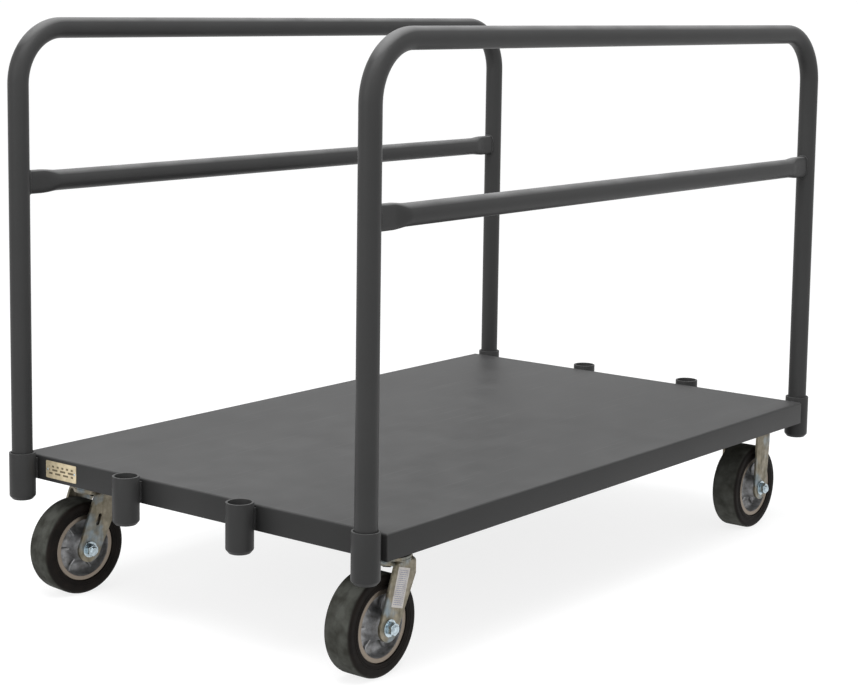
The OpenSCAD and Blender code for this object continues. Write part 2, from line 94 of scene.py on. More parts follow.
def add_node(
    tree: bpy.types.NodeTree,
    kind: str,
    settings: dict[str, object] | None = None,
    inputs: dict[str | int, object] | None = None,
) -> bpy.types.Node:
    """Add one node with its settings, its constants and its links.

    Args:
        tree: the material or geometry tree.
        kind: the node's type name.
        settings: values for the node's own properties.
        inputs: a constant or an output socket for each named or numbered input.

    Returns:
        The new node.
    """
    node = tree.nodes.new(kind)
    for key, value in (settings or {}).items():
        setattr(node, key, value)
    for name, value in (inputs or {}).items():
        if isinstance(value, bpy.types.NodeSocket):
            tree.links.new(value, node.inputs[name])
        else:
            node.inputs[name].default_value = value
    return node


@dataclass(frozen=True)
class Finish:
    """A surface finish, made once as a node material.

    Attributes:
        name: what the surface is and how it was made.
        slot: the record's material slot that it belongs to; not used.
    """

    name: str
    slot: str | None

    def material(self) -> bpy.types.Material:
        """Return this finish's material, made on the first call."""
        found = bpy.data.materials.get(self.name)
        if found:
            return found
        made = bpy.data.materials.new(self.name)
        made.use_nodes = True
        tree = made.node_tree
        tree.nodes.clear()
        shader = add_node(tree, "ShaderNodeBsdfPrincipled")
        add_node(tree, "ShaderNodeOutputMaterial", None, {"Surface": shader.outputs[0]})
        self.shade(tree, shader)
        return made

    def shade(self, tree: bpy.types.NodeTree, shader: bpy.types.Node) -> None:
        """Build the finish's nodes; each kind of finish has its own."""
        raise NotImplementedError

    def noise(
        self,
        tree: bpy.types.NodeTree,
        size_mm: float,
        stretch: tuple[float, float, float] = (1, 1, 1),
        detail: float = 2.0,
    ) -> bpy.types.NodeSocket:
        """Add noise on object coordinates.

        Args:
            tree: the material's tree.
            size_mm: size of one feature.
            stretch: how much longer a feature is along X, Y and Z.
            detail: octaves of finer noise.

        Returns:
            The noise's value socket.
        """
        place = add_node(tree, "ShaderNodeTexCoord").outputs["Object"]
        if stretch != (1, 1, 1):
            place = add_node(
                tree, "ShaderNodeMapping", None,
                {"Vector": place, "Scale": [1 / s for s in stretch]},
            ).outputs[0]
        return add_node(
            tree, "ShaderNodeTexNoise", None,
            {"Vector": place, "Scale": per_metre(size_mm), "Detail": detail},
        ).outputs[0]

    def ramp(
        self,
        tree: bpy.types.NodeTree,
        value: bpy.types.NodeSocket,
        span: Point2,
        to: Point2 = (0.0, 1.0),
    ) -> bpy.types.NodeSocket:
        """Spread a value's span over another span.

        Args:
            tree: the material's tree.
            value: the value to spread.
            span: where the value starts and ends.
            to: what those ends become.

        Returns:
            The clamped result.
        """
        ends = {"From Min": span[0], "From Max": span[1], "To Min": to[0], "To Max": to[1]}
        return add_node(tree, "ShaderNodeMapRange", None, {"Value": value, **ends}).outputs[0]

    def mix(
        self, tree: bpy.types.NodeTree, factor: bpy.types.NodeSocket, low: object, high: object
    ) -> bpy.types.NodeSocket:
        """Mix two colours.

        Args:
            tree: the material's tree.
            factor: 0 gives low and 1 gives high.
            low: a hex code or a colour socket.
            high: a hex code or a colour socket.

        Returns:
            The mixed colour's socket.
        """
        low, high = (linear(c) if isinstance(c, str) else c for c in (low, high))
        node = add_node(
            tree, "ShaderNodeMix", {"data_type": "RGBA"}, {0: factor, 6: low, 7: high}
        )
        return node.outputs[2]

    def bump(
        self,
        tree: bpy.types.NodeTree,
        shader: bpy.types.Node,
        heights: Sequence[tuple[bpy.types.NodeSocket, float]],
    ) -> None:
        """Bump the surface with one or more height patterns.

        Args:
            tree: the material's tree.
            shader: the shader whose normal is bumped.
            heights: each pattern with its depth in millimetres.
        """
        normal = None
        for height, depth in heights:
            values = {"Height": height, "Distance": depth * MM, "Strength": 1.0}
            if normal:
                values["Normal"] = normal
            normal = add_node(tree, "ShaderNodeBump", None, values).outputs[0]
        tree.links.new(normal, shader.inputs["Normal"])

    def turned(self, tree: bpy.types.NodeTree) -> bpy.types.Node:
        """Return the distance from the wheel's axle (X) and along it (Y), in metres."""
        read = add_node(
            tree, "ShaderNodeAttribute", {"attribute_type": "GEOMETRY", "attribute_name": "turn"}
        )
        return add_node(tree, "ShaderNodeSeparateXYZ", None, {0: read.outputs["Vector"]})


@dataclass(frozen=True)
class Enamel(Finish):
    """Sprayed satin enamel: an even grey with orange peel, and a paler tone where it faces up that
    is partly dust and partly painted top light.

    Attributes:
        colour: the paint.
        worn: the paint where it is rubbed.
        dust_and_top_light: the tone of the dust.
        gloss: roughness of clean paint.
        shine: strength of its reflection, where a half is typical.
        scuffed: True for the deck, which loads have slid over.
    """

    colour: str = "272727"
    worn: str = "2c2c2c"
    # dust: the paler tone on faces that point up, partly dust and partly painted top light.
    dust_and_top_light: str = "585858"
    gloss: float = 0.42
    shine: float = 0.14
    scuffed: bool = False

    def shade(self, tree: bpy.types.NodeTree, shader: bpy.types.Node) -> None:
        """Build the paint from mottling, dust with painted top light, scuffs and orange peel.

        Args:
            tree: the material's tree.
            shader: its Principled shader.
        """
        cloud = self.ramp(tree, self.noise(tree, 170, detail=3), (0.3, 0.7))
        paint = self.mix(tree, cloud, self.colour, self.worn)
        # faces that point up get a paler tone in patches: partly dust, partly painted light where
        # the light falls on the tops
        up = add_node(tree, "ShaderNodeNewGeometry").outputs["Normal"]
        level = add_node(tree, "ShaderNodeSeparateXYZ", None, {0: up}).outputs[2]
        facing = self.ramp(tree, level, (0.55, 0.98), (0.0, 0.55))
        patches = self.ramp(tree, self.noise(tree, 60, detail=4), (0.3, 0.75), (0.55, 1.0))
        dust_and_top_light_mask = add_node(tree, "ShaderNodeMath", {"operation": "MULTIPLY"}, {0: facing, 1: patches})
        paint = self.mix(tree, dust_and_top_light_mask.outputs[0], paint, self.dust_and_top_light)
        rough = self.ramp(tree, dust_and_top_light_mask.outputs[0], (0.0, 0.6), (self.gloss, self.gloss + 0.14))
        if self.scuffed:
            streak = self.noise(tree, 3.5, (60, 1, 1), 3)
            marks = self.ramp(tree, streak, (0.62, 0.74), (0.0, 0.18))
            on_top = add_node(
                tree, "ShaderNodeMath", {"operation": "MULTIPLY"}, {0: marks, 1: facing}
            )
            paint = self.mix(tree, on_top.outputs[0], paint, "8a8a88")
        tree.links.new(paint, shader.inputs["Base Color"])
        tree.links.new(rough, shader.inputs["Roughness"])
        shader.inputs["Specular IOR Level"].default_value = self.shine
        # peel of about 2.4 mm and spray grain drawn at 0.9 mm so that it still shows
        peel = self.noise(tree, 2.4)
        grain = self.noise(tree, 0.9)
        self.bump(tree, shader, [(peel, 0.035), (grain, 0.012)])


@dataclass(frozen=True)
class ZincPlate(Finish):
    """Zinc plating on formed steel: a dull yellowish film with clouds, streaks and blue tints.

    Attributes:
        film: the main tone.
        pale: the tone of the thin film.
        tint: the bluish patches.
        stain: the darker runs.
        gloss: lowest roughness.
    """

    film: str = "6f6a5c"
    pale: str = "8b8475"
    tint: str = "7f8d96"
    stain: str = "544d41"
    gloss: float = 0.36

    def shade(self, tree: bpy.types.NodeTree, shader: bpy.types.Node) -> None:
        """Build the plating from clouds, tints and vertical runs.

        Args:
            tree: the material's tree.
            shader: its Principled shader.
        """
        cloud = self.ramp(tree, self.noise(tree, 14, detail=4), (0.35, 0.65))
        tone = self.mix(tree, cloud, self.film, self.pale)
        blue = self.ramp(tree, self.noise(tree, 26), (0.54, 0.72), (0.0, 0.75))
        tone = self.mix(tree, blue, tone, self.tint)
        runs = self.ramp(tree, self.noise(tree, 4, (1, 1, 9), 3), (0.52, 0.78), (0.0, 0.55))
        tone = self.mix(tree, runs, tone, self.stain)
        tree.links.new(tone, shader.inputs["Base Color"])
        shader.inputs["Metallic"].default_value = 1.0
        rough = self.ramp(tree, self.noise(tree, 6, detail=3), (0.3, 0.7), (self.gloss, 0.62))
        tree.links.new(rough, shader.inputs["Roughness"])
        # rolled sheet grain of 1.2 mm
        self.bump(tree, shader, [(self.noise(tree, 1.2), 0.02)])


@dataclass(frozen=True)
class CastAlloy(Finish):
    """Sand-cast aluminium with a turned rim: grainy grey dish, ringed and dulled rim.

    Attributes:
        cast: the cast skin.
        shadow: the skin where oxide has darkened it.
        rim: the turned rim.
        rim_starts: distance from the axle at which the turned face starts, in millimetres.
    """

    cast: str = "adaeb0"
    shadow: str = "777675"
    rim: str = "857b70"
    rim_starts: float = 46.6

    def shade(self, tree: bpy.types.NodeTree, shader: bpy.types.Node) -> None:
        """Build the skin and the turned rim.

        Args:
            tree: the material's tree.
            shader: its Principled shader.
        """
        radius = self.turned(tree).outputs[0]
        cloud = self.ramp(tree, self.noise(tree, 9, detail=4), (0.3, 0.7))
        skin = self.mix(tree, cloud, self.cast, self.shadow)
        edge = self.rim_starts * MM
        turned = self.ramp(tree, radius, (edge - 0.0004, edge))
        tree.links.new(self.mix(tree, turned, skin, self.rim), shader.inputs["Base Color"])
        tree.links.new(self.ramp(tree, turned, (0, 1), (0.56, 0.44)), shader.inputs["Roughness"])
        shader.inputs["Metallic"].default_value = 1.0
        # a turning pass every 0.7 mm, and sand grain of 1.6 mm
        feed = add_node(
            tree, "ShaderNodeMath", {"operation": "MULTIPLY"}, {0: radius, 1: math.tau / 0.0007}
        )
        wave = add_node(tree, "ShaderNodeMath", {"operation": "SINE"}, {0: feed.outputs[0]})
        cut = add_node(
            tree, "ShaderNodeMath", {"operation": "MULTIPLY"}, {0: wave.outputs[0], 1: turned}
        )
        sand = self.noise(tree, 1.6)
        self.bump(tree, shader, [(cut.outputs[0], 0.006), (sand, 0.07)])


@dataclass(frozen=True)
class MouldedRubber(Finish):
    """Press-moulded rubber: brown-black matt sidewalls and a tread greyed by floor dust.

    Attributes:
        wall: the sidewall.
        bloom: the sidewall where it has bloomed.
        tread: the dusty tread.
        tread_worn: the tread where the dust is rubbed off.
        tread_starts: half width of the dusty band, in millimetres.
        shoulder: distances from the axle over which the dust sets in, in millimetres.
    """

    wall: str = "0d0a08"
    bloom: str = "17120f"
    tread: str = "434440"
    tread_worn: str = "2c2c28"
    tread_starts: float = 23.0
    shoulder: Point2 = (72.0, 74.5)

    def shade(self, tree: bpy.types.NodeTree, shader: bpy.types.Node) -> None:
        """Build the sidewall and the dusty tread.

        Args:
            tree: the material's tree.
            shader: its Principled shader.
        """
        turn = self.turned(tree)
        side = self.mix(
            tree, self.ramp(tree, self.noise(tree, 18, detail=4), (0.35, 0.7)),
            self.wall, self.bloom,
        )
        dust_and_top_light = self.mix(
            tree, self.ramp(tree, self.noise(tree, 22, detail=5), (0.35, 0.65)),
            self.tread, self.tread_worn,
        )
        across = add_node(
            tree, "ShaderNodeMath", {"operation": "ABSOLUTE"}, {0: turn.outputs[1]}
        ).outputs[0]
        edge = self.tread_starts * MM
        inward = self.ramp(tree, across, (edge - 0.003, edge), (1.0, 0.0))
        low, high = self.shoulder
        outward = self.ramp(tree, turn.outputs[0], (low * MM, high * MM))
        on_tread = add_node(
            tree, "ShaderNodeMath", {"operation": "MULTIPLY"}, {0: inward, 1: outward}
        ).outputs[0]
        tree.links.new(self.mix(tree, on_tread, side, dust_and_top_light), shader.inputs["Base Color"])
        tree.links.new(self.ramp(tree, on_tread, (0, 1), (0.6, 0.9)), shader.inputs["Roughness"])
        shader.inputs["Specular IOR Level"].default_value = 0.1
        # grit marks of 1.1 mm
        self.bump(tree, shader, [(self.noise(tree, 1.1, detail=3), 0.05)])


@dataclass(frozen=True)
class BrightSteel(Finish):
    """Machined steel, plated or oiled: a tight gloss with faint tarnish.

    Attributes:
        tone: the metal.
        tarnish: the metal where it has dulled.
        gloss: lowest roughness.
    """

    tone: str = "b9c7ce"
    tarnish: str = "8d979c"
    gloss: float = 0.2

    def shade(self, tree: bpy.types.NodeTree, shader: bpy.types.Node) -> None:
        """Build the metal from tarnish and fine machining grain.

        Args:
            tree: the material's tree.
            shader: its Principled shader.
        """
        spots = self.ramp(tree, self.noise(tree, 5, detail=3), (0.4, 0.75))
        tree.links.new(self.mix(tree, spots, self.tone, self.tarnish), shader.inputs["Base Color"])
        rough = self.ramp(tree, spots, (0, 1), (self.gloss, self.gloss + 0.18))
        tree.links.new(rough, shader.inputs["Roughness"])
        shader.inputs["Metallic"].default_value = 1.0
        self.bump(tree, shader, [(self.noise(tree, 0.8), 0.008)])


@dataclass(frozen=True)
class MarkedSheet(Finish):
    """Thin sheet with rows of blank bars, on the piece's own UV map.

    Attributes:
        ground: the sheet's tone.
        soiled: the sheet where it is dirty.
        mark: the tone of the bars.
        rows: rows of bars over the sheet's height.
        bar: length of one bar as a share of the sheet's width.
        gap: space round a bar as a share of a row's height.
        span: part of the height that holds bars.
        metal: 1 for a metal sheet and 0 for paper.
        gloss: roughness.
    """

    ground: str = "b6b2ae"
    soiled: str = "9c9793"
    mark: str = "73778a"
    rows: int = 20
    bar: float = 0.22
    gap: float = 0.36
    span: Point2 = (0.05, 0.95)
    metal: float = 0.0
    gloss: float = 0.55

    def shade(self, tree: bpy.types.NodeTree, shader: bpy.types.Node) -> None:
        """Build the sheet, its soiling and its bars.

        Args:
            tree: the material's tree.
            shader: its Principled shader.
        """
        place = add_node(tree, "ShaderNodeUVMap", {"uv_map": "sheet"}).outputs[0]
        bricks = add_node(
            tree, "ShaderNodeTexBrick", {"offset": 0.37, "squash": 0.6, "squash_frequency": 3},
            {"Vector": place, "Scale": 1.0, "Mortar Size": self.gap / self.rows,
             "Brick Width": self.bar, "Row Height": 1 / self.rows, "Mortar Smooth": 0.2,
             "Color1": (1, 1, 1, 1), "Color2": (1, 1, 1, 1), "Mortar": (0, 0, 0, 1)},
        )
        axes = add_node(tree, "ShaderNodeSeparateXYZ", None, {0: place})
        inside = self.band(tree, axes.outputs[1], self.span)
        margin = self.band(tree, axes.outputs[0], (0.1, 0.9))
        for part in (inside, margin):
            bricks = add_node(
                tree, "ShaderNodeMath", {"operation": "MULTIPLY"}, {0: bricks.outputs[0], 1: part}
            )
        dirt = self.ramp(tree, self.noise(tree, 12, detail=4), (0.35, 0.75))
        sheet = self.mix(tree, dirt, self.ground, self.soiled)
        printed = self.mix(tree, bricks.outputs[0], sheet, self.mark)
        tree.links.new(printed, shader.inputs["Base Color"])
        shader.inputs["Metallic"].default_value = self.metal
        rough = self.ramp(tree, dirt, (0, 1), (self.gloss, self.gloss + 0.15))
        tree.links.new(rough, shader.inputs["Roughness"])
        self.bump(tree, shader, [(self.noise(tree, 0.7, (12, 12, 1)), 0.01)])

    def band(
        self, tree: bpy.types.NodeTree, value: bpy.types.NodeSocket, span: Point2
    ) -> bpy.types.NodeSocket:
        """Mark where a value lies inside a span.

        Args:
            tree: the material's tree.
            value: the value to test.
            span: where the marked stretch starts and ends.

        Returns:
            1 inside the span and 0 outside it.
        """
        low = add_node(
            tree, "ShaderNodeMath", {"operation": "GREATER_THAN"}, {0: value, 1: span[0]}
        )
        high = add_node(tree, "ShaderNodeMath", {"operation": "LESS_THAN"}, {0: value, 1: span[1]})
        return add_node(
            tree, "ShaderNodeMath", {"operation": "MULTIPLY"},
            {0: low.outputs[0], 1: high.outputs[0]},
        ).outputs[0]


@dataclass(frozen=True)
class StudioFloor(Finish):
    """Rolled matt floor paint: plain and pale, with the faintest unevenness."""

    tone: str = "8c8c8c"

    def shade(self, tree: bpy.types.NodeTree, shader: bpy.types.Node) -> None:
        """Build the floor's paint.

        Args:
            tree: the material's tree.
            shader: its Principled shader.
        """
        drift = self.ramp(tree, self.noise(tree, 900), (0.3, 0.7))
        tree.links.new(self.mix(tree, drift, self.tone, "898989"), shader.inputs["Base Color"])
        shader.inputs["Roughness"].default_value = 0.9
        shader.inputs["Specular IOR Level"].default_value = 0.1
        shader.inputs["Emission Color"].default_value = linear("ffffff")
        shader.inputs["Emission Strength"].default_value = 0.8


class Finishes(Enum):
    """The finishes on this truck."""

    # satin enamel: soft broad highlights along the pipes, and a pale tone on their tops that is
    # partly dust and partly a painted highlight
    RAIL = Enamel("satin_enamel_rails", "rail_paint", "2d2d2d", "313131", "949494")
    # the body's up-facing faces get the paler tone too, partly dust and partly painted top light
    BODY = Enamel("satin_enamel_body", "deck_paint", "2a2a2a", "2f2f2f")
    # the same enamel, greyer on top where loads have slid and dust has settled, with painted top
    # light in the same pale tone
    DECK = Enamel("satin_enamel_deck", "deck_paint", scuffed=True)
    # the underside gets a weaker paler tone on its up-facing faces, partly dust and partly painted
    # top light
    UNDER = Enamel(
        "satin_enamel_underside", "underside_steel", colour="242424", worn="292929", dust_and_top_light="3c3c3c"
    )
    # zinc on pressed steel: warm, cloudy and dull
    FORK = ZincPlate("yellow_zinc_pressed_steel", "zinc_fork")
    # clear zinc on bolts: small cold glints
    BOLT = BrightSteel("bright_zinc_fasteners", "zinc_bright")
    # oiled bearing steel: darker, with a wet gloss
    BEARING = BrightSteel("oiled_bearing_steel", "bearing_steel", "6b6861", "4c4740", 0.28)
    CORE = CastAlloy("cast_turned_aluminium", "core_alloy")
    TYRE = MouldedRubber("moulded_rubber_tyre", "tyre_rubber")
    # paper with printed bars: reads as fine print without saying anything
    LABEL = MarkedSheet("printed_paper_label", "label_print")
    # satin anodised plate with rows of etched bars
    NAMEPLATE = MarkedSheet(
        "etched_anodised_plate", "nameplate_metal", "d3c5a6", "b5a88c", "6a604e",
        rows=5, bar=0.26, gap=0.24, span=(0.22, 0.8), metal=0.8, gloss=0.42,
    )
    FLOOR = StudioFloor("matt_floor_paint", None)


# ---- shapes ---------------------------------------------------------------------------


def round_corners(points: Sequence[Point2], radii: Sequence[float], steps: int = 6) -> list[Point2]:
    """Round the corners of a closed outline.

    Args:
        points: the sharp corners in order.
        radii: one radius for each corner; 0 keeps it sharp.
        steps: arc pieces for each corner.

    Returns:
        The rounded outline's points.
    """
    out: list[Point2] = []
    for i, point in enumerate(points):
        here, radius = Vector(point), radii[i]
        if radius <= 0:
            out.append((here.x, here.y))
            continue
        back = (Vector(points[i - 1]) - here).normalized()
        on = (Vector(points[(i + 1) % len(points)]) - here).normalized()
        half = back.angle(on) / 2
        centre = here + (back + on).normalized() * radius / math.sin(half)
        start = here + back * radius / math.tan(half) - centre
        turn = math.pi - 2 * half
        sign = 1 if back.x * on.y - back.y * on.x < 0 else -1
        for k in range(steps + 1):
            a = sign * turn * k / steps
            c, s = math.cos(a), math.sin(a)
            out.append((centre.x + c * start.x - s * start.y, centre.y + s * start.x + c * start.y))
    return out


def arc(centre: Point2, radius: float, start: float, end: float, steps: int = 8) -> list[Point2]:
    """Return points on an arc from start to end, in degrees."""
    angles = [math.radians(start + (end - start) * k / steps) for k in range(steps + 1)]
    return [(centre[0] + radius * math.cos(a), centre[1] + radius * math.sin(a)) for a in angles]


def aimed(place: Vector, axis: Vector, across: Vector) -> Matrix:
    """Return a frame at a place.

    Args:
        place: where its origin lies.
        axis: its Z direction.
        across: a direction near its X.

    Returns:
        The frame as a matrix.
    """
    z = axis.normalized()
    x = (across - z * across.dot(z)).normalized()
    y = z.cross(x)
    return Matrix.Translation(place) @ Matrix((x, y, z)).transposed().to_4x4()


def loft(
    bm: bmesh.types.BMesh, rings: Sequence[Ring], closed: bool = False, caps: bool = True
) -> None:
    """Skin a row of rings that have the same number of points.

    Args:
        bm: the mesh to add to.
        rings: the rings in order.
        closed: True joins the last ring to the first.
        caps: True closes both ends with a face.
    """
    rows = [[bm.verts.new(p) for p in ring] for ring in rings]
    count = len(rows[0])
    pairs = list(zip(rows, rows[1:])) + ([(rows[-1], rows[0])] if closed else [])
    for low, high in pairs:
        for i in range(count):
            j = (i + 1) % count
            bm.faces.new((low[i], low[j], high[j], high[i]))
    if caps and not closed:
        bm.faces.new(list(reversed(rows[0])))
        bm.faces.new(rows[-1])


def revolve(
    bm: bmesh.types.BMesh, profile: Sequence[Point2], frame_at: Matrix, steps: int = 64
) -> None:
    """Turn a profile round an axis.

    Args:
        bm: the mesh to add to.
        profile: (radius, height) points of a closed section; a radius of 0 is a pole.
        frame_at: the frame whose Z is the axis.
        steps: pieces round the axis.
    """
    rows = []
    for radius, height in profile:
        if radius < 1e-9:
            rows.append([bm.verts.new(frame_at @ Vector((0, 0, height)))])
            continue
        angles = [math.tau * k / steps for k in range(steps)]
        rows.append([
            bm.verts.new(frame_at @ Vector((radius * math.cos(a), radius * math.sin(a), height)))
            for a in angles
        ])
    for low, high in zip(rows, rows[1:] + rows[:1]):
        for i in range(steps):
            j = (i + 1) % steps
            if len(low) == 1 and len(high) == 1:
                break
            if len(low) == 1:
                bm.faces.new((low[0], high[j], high[i]))
            elif len(high) == 1:
                bm.faces.new((low[i], low[j], high[0]))
            else:
                bm.faces.new((low[i], low[j], high[j], high[i]))


def slab(
    bm: bmesh.types.BMesh,
    outline: Sequence[Point2],
    holes: Iterable[Sequence[Point2]],
    depth: float,
    frame_at: Matrix,
    soften: float = 0.0,
) -> None:
    """Cut a flat plate from an outline with holes.

    Args:
        bm: the mesh to add to.
        outline: the plate's outer edge.
        holes: the edges of its holes.
        depth: its thickness, along the frame's Z.
        frame_at: where the plate's lower face lies.
        soften: width of the rounding on its edges.
    """
    plate = bmesh.new()
    edges = []
    for loop in [outline, *holes]:
        corners = [plate.verts.new((x, y, 0)) for x, y in loop]
        edges += [plate.edges.new((a, b)) for a, b in zip(corners, corners[1:] + corners[:1])]
    flat = bmesh.ops.triangle_fill(plate, use_beauty=True, edges=edges)["geom"]
    faces = [f for f in flat if isinstance(f, bmesh.types.BMFace)]
    up = bmesh.ops.extrude_face_region(plate, geom=faces)["geom"]
    tops = [v for v in up if isinstance(v, bmesh.types.BMVert)]
    bmesh.ops.translate(plate, verts=tops, vec=(0, 0, depth))
    bmesh.ops.recalc_face_normals(plate, faces=plate.faces)
    if soften:
        soften_edges(plate, soften)
    add_mesh(bm, plate, frame_at)


def soften_edges(bm: bmesh.types.BMesh, width: float, angle: float = 38.0) -> None:
    """Round every edge that is sharper than an angle.

    Args:
        bm: the mesh.
        width: width of the rounding.
        angle: least angle between faces, in degrees.
    """
    sharp = [
        e for e in bm.edges
        if len(e.link_faces) == 2 and e.calc_face_angle(0) > math.radians(angle)
    ]
    bmesh.ops.bevel(
        bm, geom=sharp, offset=width, offset_type="OFFSET", segments=2, profile=0.5,
        affect="EDGES", clamp_overlap=True,
    )


def add_mesh(
    bm: bmesh.types.BMesh, other: bmesh.types.BMesh | bpy.types.Mesh, frame_at: Matrix
) -> None:
    """Add another mesh in a frame and free it.

    Args:
        bm: the mesh to add to.
        other: the mesh to add.
        frame_at: where it goes.
    """
    if isinstance(other, bmesh.types.BMesh):
        held = bpy.data.meshes.new("held")
        other.to_mesh(held)
        other.free()
        other = held
    other.transform(frame_at)
    bm.from_mesh(other)
    bpy.data.meshes.remove(other)


def hexagon(radius: float, cone: float, steps: int = 8) -> list[Point2]:
    """Return a hexagon's outline cut back to a cone's radius.

    Args:
        radius: distance of its corners.
        cone: the chamfer cone's radius at this height.
        steps: points on each side.

    Returns:
        The outline's points.
    """
    out = []
    for k in range(6 * steps):
        a = math.tau * k / (6 * steps)
        off = (a % (math.pi / 3)) - math.pi / 6
        r = min(radius * math.cos(math.pi / 6) / math.cos(off), cone)
        out.append((r * math.cos(a), r * math.sin(a)))
    return out


def hex_head(
    bm: bmesh.types.BMesh, radius: float, height: float, frame_at: Matrix, both: bool = False
) -> None:
    """Add a hexagon head with a chamfered top.

    Args:
        bm: the mesh to add to.
        radius: distance of its corners.
        height: its height.
        frame_at: where it stands.
        both: True chamfers the bottom too, as on a nut.
    """
    inner = radius * 0.86
    drop = (radius - inner) * 0.62
    levels = [(0.0, inner if both else radius), (drop if both else 0.0, radius)]
    levels += [
        (height - drop, radius), (height - drop * 0.5, (radius + inner) / 2), (height, inner)
    ]
    levels = levels if both else levels[1:]
    loft(bm, [[frame_at @ Vector((x, y, z)) for x, y in hexagon(radius, r)] for z, r in levels])


def thread(radius: float, start: float, end: float, pitch: float) -> list[Point2]:
    """Return the section of a threaded end with a chamfered tip.

    Args:
        radius: the thread's outer radius.
        start: height at which it starts.
        end: height of the tip.
        pitch: distance between threads.

    Returns:
        (radius, height) points, closed on the axis.
    """
    depth = pitch * 0.45
    out: list[Point2] = [(0.0, start)]
    height = start
    while height + pitch < end - depth:
        out += [(radius - depth, height), (radius, height + pitch * 0.45)]
        out += [(radius, height + pitch * 0.55)]
        height += pitch
    out += [(radius - depth, height), (radius - depth, end - depth * 0.6)]
    return out + [(radius - depth * 1.6, end), (0.0, end)]


def mark_turning(bm: bmesh.types.BMesh, place: Vector, axis: Vector) -> None:
    """Store each point's distance from an axle and along it, for the wheel finishes.

    Args:
        bm: the wheel part's mesh.
        place: the wheel's centre.
        axis: the axle's direction.
    """
    layer = bm.verts.layers.float_vector.new("turn")
    for vert in bm.verts:
        off = vert.co - place
        along = off.dot(axis)
        vert[layer] = ((off - axis * along).length, along, 0.0)


def map_sheet(bm: bmesh.types.BMesh, frame_at: Matrix, width: float, height: float) -> None:
    """Lay a UV map over a sheet.

    Args:
        bm: the sheet's mesh.
        frame_at: the sheet's own frame, centred on it.
        width: its size along the frame's X.
        height: its size along the frame's Y.
    """
    layer = bm.loops.layers.uv.new("sheet")
    home = frame_at.inverted()
    for face in bm.faces:
        for loop in face.loops:
            at = home @ loop.vert.co
            loop[layer].uv = (at.x / width + 0.5, at.y / height + 0.5)


def node_copy(node: str, width: float) -> bmesh.types.BMesh:
    """Copy a frame node's mesh, merge it, and ease its edges.

    Args:
        node: the frame node.
        width: width of the eased edges.

    Returns:
        The eased mesh.
    """
    bm = bmesh.new()
    bm.from_mesh(frame["nodes"][node].data)
    for layer in list(bm.loops.layers.uv.values()):
        bm.loops.layers.uv.remove(layer)
    bmesh.ops.remove_doubles(bm, verts=bm.verts, dist=1e-6)
    bmesh.ops.dissolve_limit(
        bm, angle_limit=math.radians(0.6), verts=bm.verts, edges=bm.edges, delimit=set()
    )
    if width:
        soften_edges(bm, width)
    return bm


def make_piece(
    name: str,
    bm: bmesh.types.BMesh,
    body: str,
    finish: Finishes,
    stands_for: Sequence[str] = (),
    sharp: float = 32.0,
    turn_out: bool = True,
) -> bpy.types.Object:
    """Finish a mesh as a visible piece that rides on a body.

    Args:
        name: the piece's name.
        bm: its mesh, which is freed.
        body: the body it moves with.
        finish: its finish.
        stands_for: the frame nodes that it replaces.
        sharp: least angle that is shaded as an edge, in degrees.
        turn_out: True works out which way the faces point.

    Returns:
        The piece's object.
    """
    if turn_out:
        bmesh.ops.recalc_face_normals(bm, faces=bm.faces)
    mesh = bpy.data.meshes.new(name)
    bm.to_mesh(mesh)
    bm.free()
    mesh.shade_smooth()
    mesh.set_sharp_from_angle(angle=math.radians(sharp))
    mesh.materials.clear()
    mesh.materials.append(finish.value.material())
    piece = bpy.data.objects.new(name, mesh)
    bpy.context.scene.collection.objects.link(piece)
    for polygon in mesh.polygons:
        polygon.material_index = 0
    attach(piece, body)
    if stands_for:
        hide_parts(*stands_for)
    return piece


def dress_node(node: str, finish: Finishes) -> None:
    """Give a frame node that stays in view its finish."""
    slots = frame["nodes"][node].data.materials
    slots.clear()
    slots.append(finish.value.material())


# ---- geometry trees -------------------------------------------------------------------


class Repeater:
    """A geometry tree that repeats a part, and what runs it to a plain mesh."""

    def __init__(self, name: str, inputs: Sequence[tuple[str, str]]) -> None:
        """Start a tree.

        Args:
            name: the tree's name.
            inputs: (name, socket type) of each input after the geometry.
        """
        self.tree = bpy.data.node_groups.new(name, "GeometryNodeTree")
        face = self.tree.interface
        face.new_socket("Geometry", in_out="OUTPUT", socket_type="NodeSocketGeometry")
        face.new_socket("Geometry", in_out="INPUT", socket_type="NodeSocketGeometry")
        self.ids = {
            label: face.new_socket(label, in_out="INPUT", socket_type=kind).identifier
            for label, kind in [*inputs, ("Material", "NodeSocketMaterial")]
        }
        self.given = add_node(self.tree, "NodeGroupInput").outputs

    def close(self, instances: bpy.types.NodeSocket) -> None:
        """End the tree: make the copies real and give them the material.

        Args:
            instances: the copies that the tree has placed.
        """
        real = add_node(self.tree, "GeometryNodeRealizeInstances", None, {0: instances})
        done = add_node(
            self.tree, "GeometryNodeSetMaterial", None,
            {"Geometry": real.outputs[0], "Material": self.given["Material"]},
        )
        add_node(self.tree, "NodeGroupOutput", None, {0: done.outputs[0]})

    def run(
        self, source: bmesh.types.BMesh, finish: Finishes, **values: float | int
    ) -> bpy.types.Mesh:
        """Run the tree on a mesh.

        Args:
            source: the part or the path that the tree starts from; it is freed.
            finish: the finish that the copies get.
            **values: the tree's inputs, with _ for a space in a name.

        Returns:
            The result as a plain mesh.
        """
        mesh = bpy.data.meshes.new("source")
        source.to_mesh(mesh)
        source.free()
        holder = bpy.data.objects.new("source", mesh)
        bpy.context.scene.collection.objects.link(holder)
        step = holder.modifiers.new("repeat", "NODES")
        step.node_group = self.tree
        for name, value in values.items():
            step[self.ids[name.replace("_", " ")]] = value
        step[self.ids["Material"]] = finish.value.material()
        bpy.context.view_layer.update()
        seen = holder.evaluated_get(bpy.context.evaluated_depsgraph_get())
        result = bpy.data.meshes.new_from_object(seen)
        holder.modifiers.remove(step)
        bpy.data.objects.remove(holder)
        bpy.data.meshes.remove(mesh)
        return result


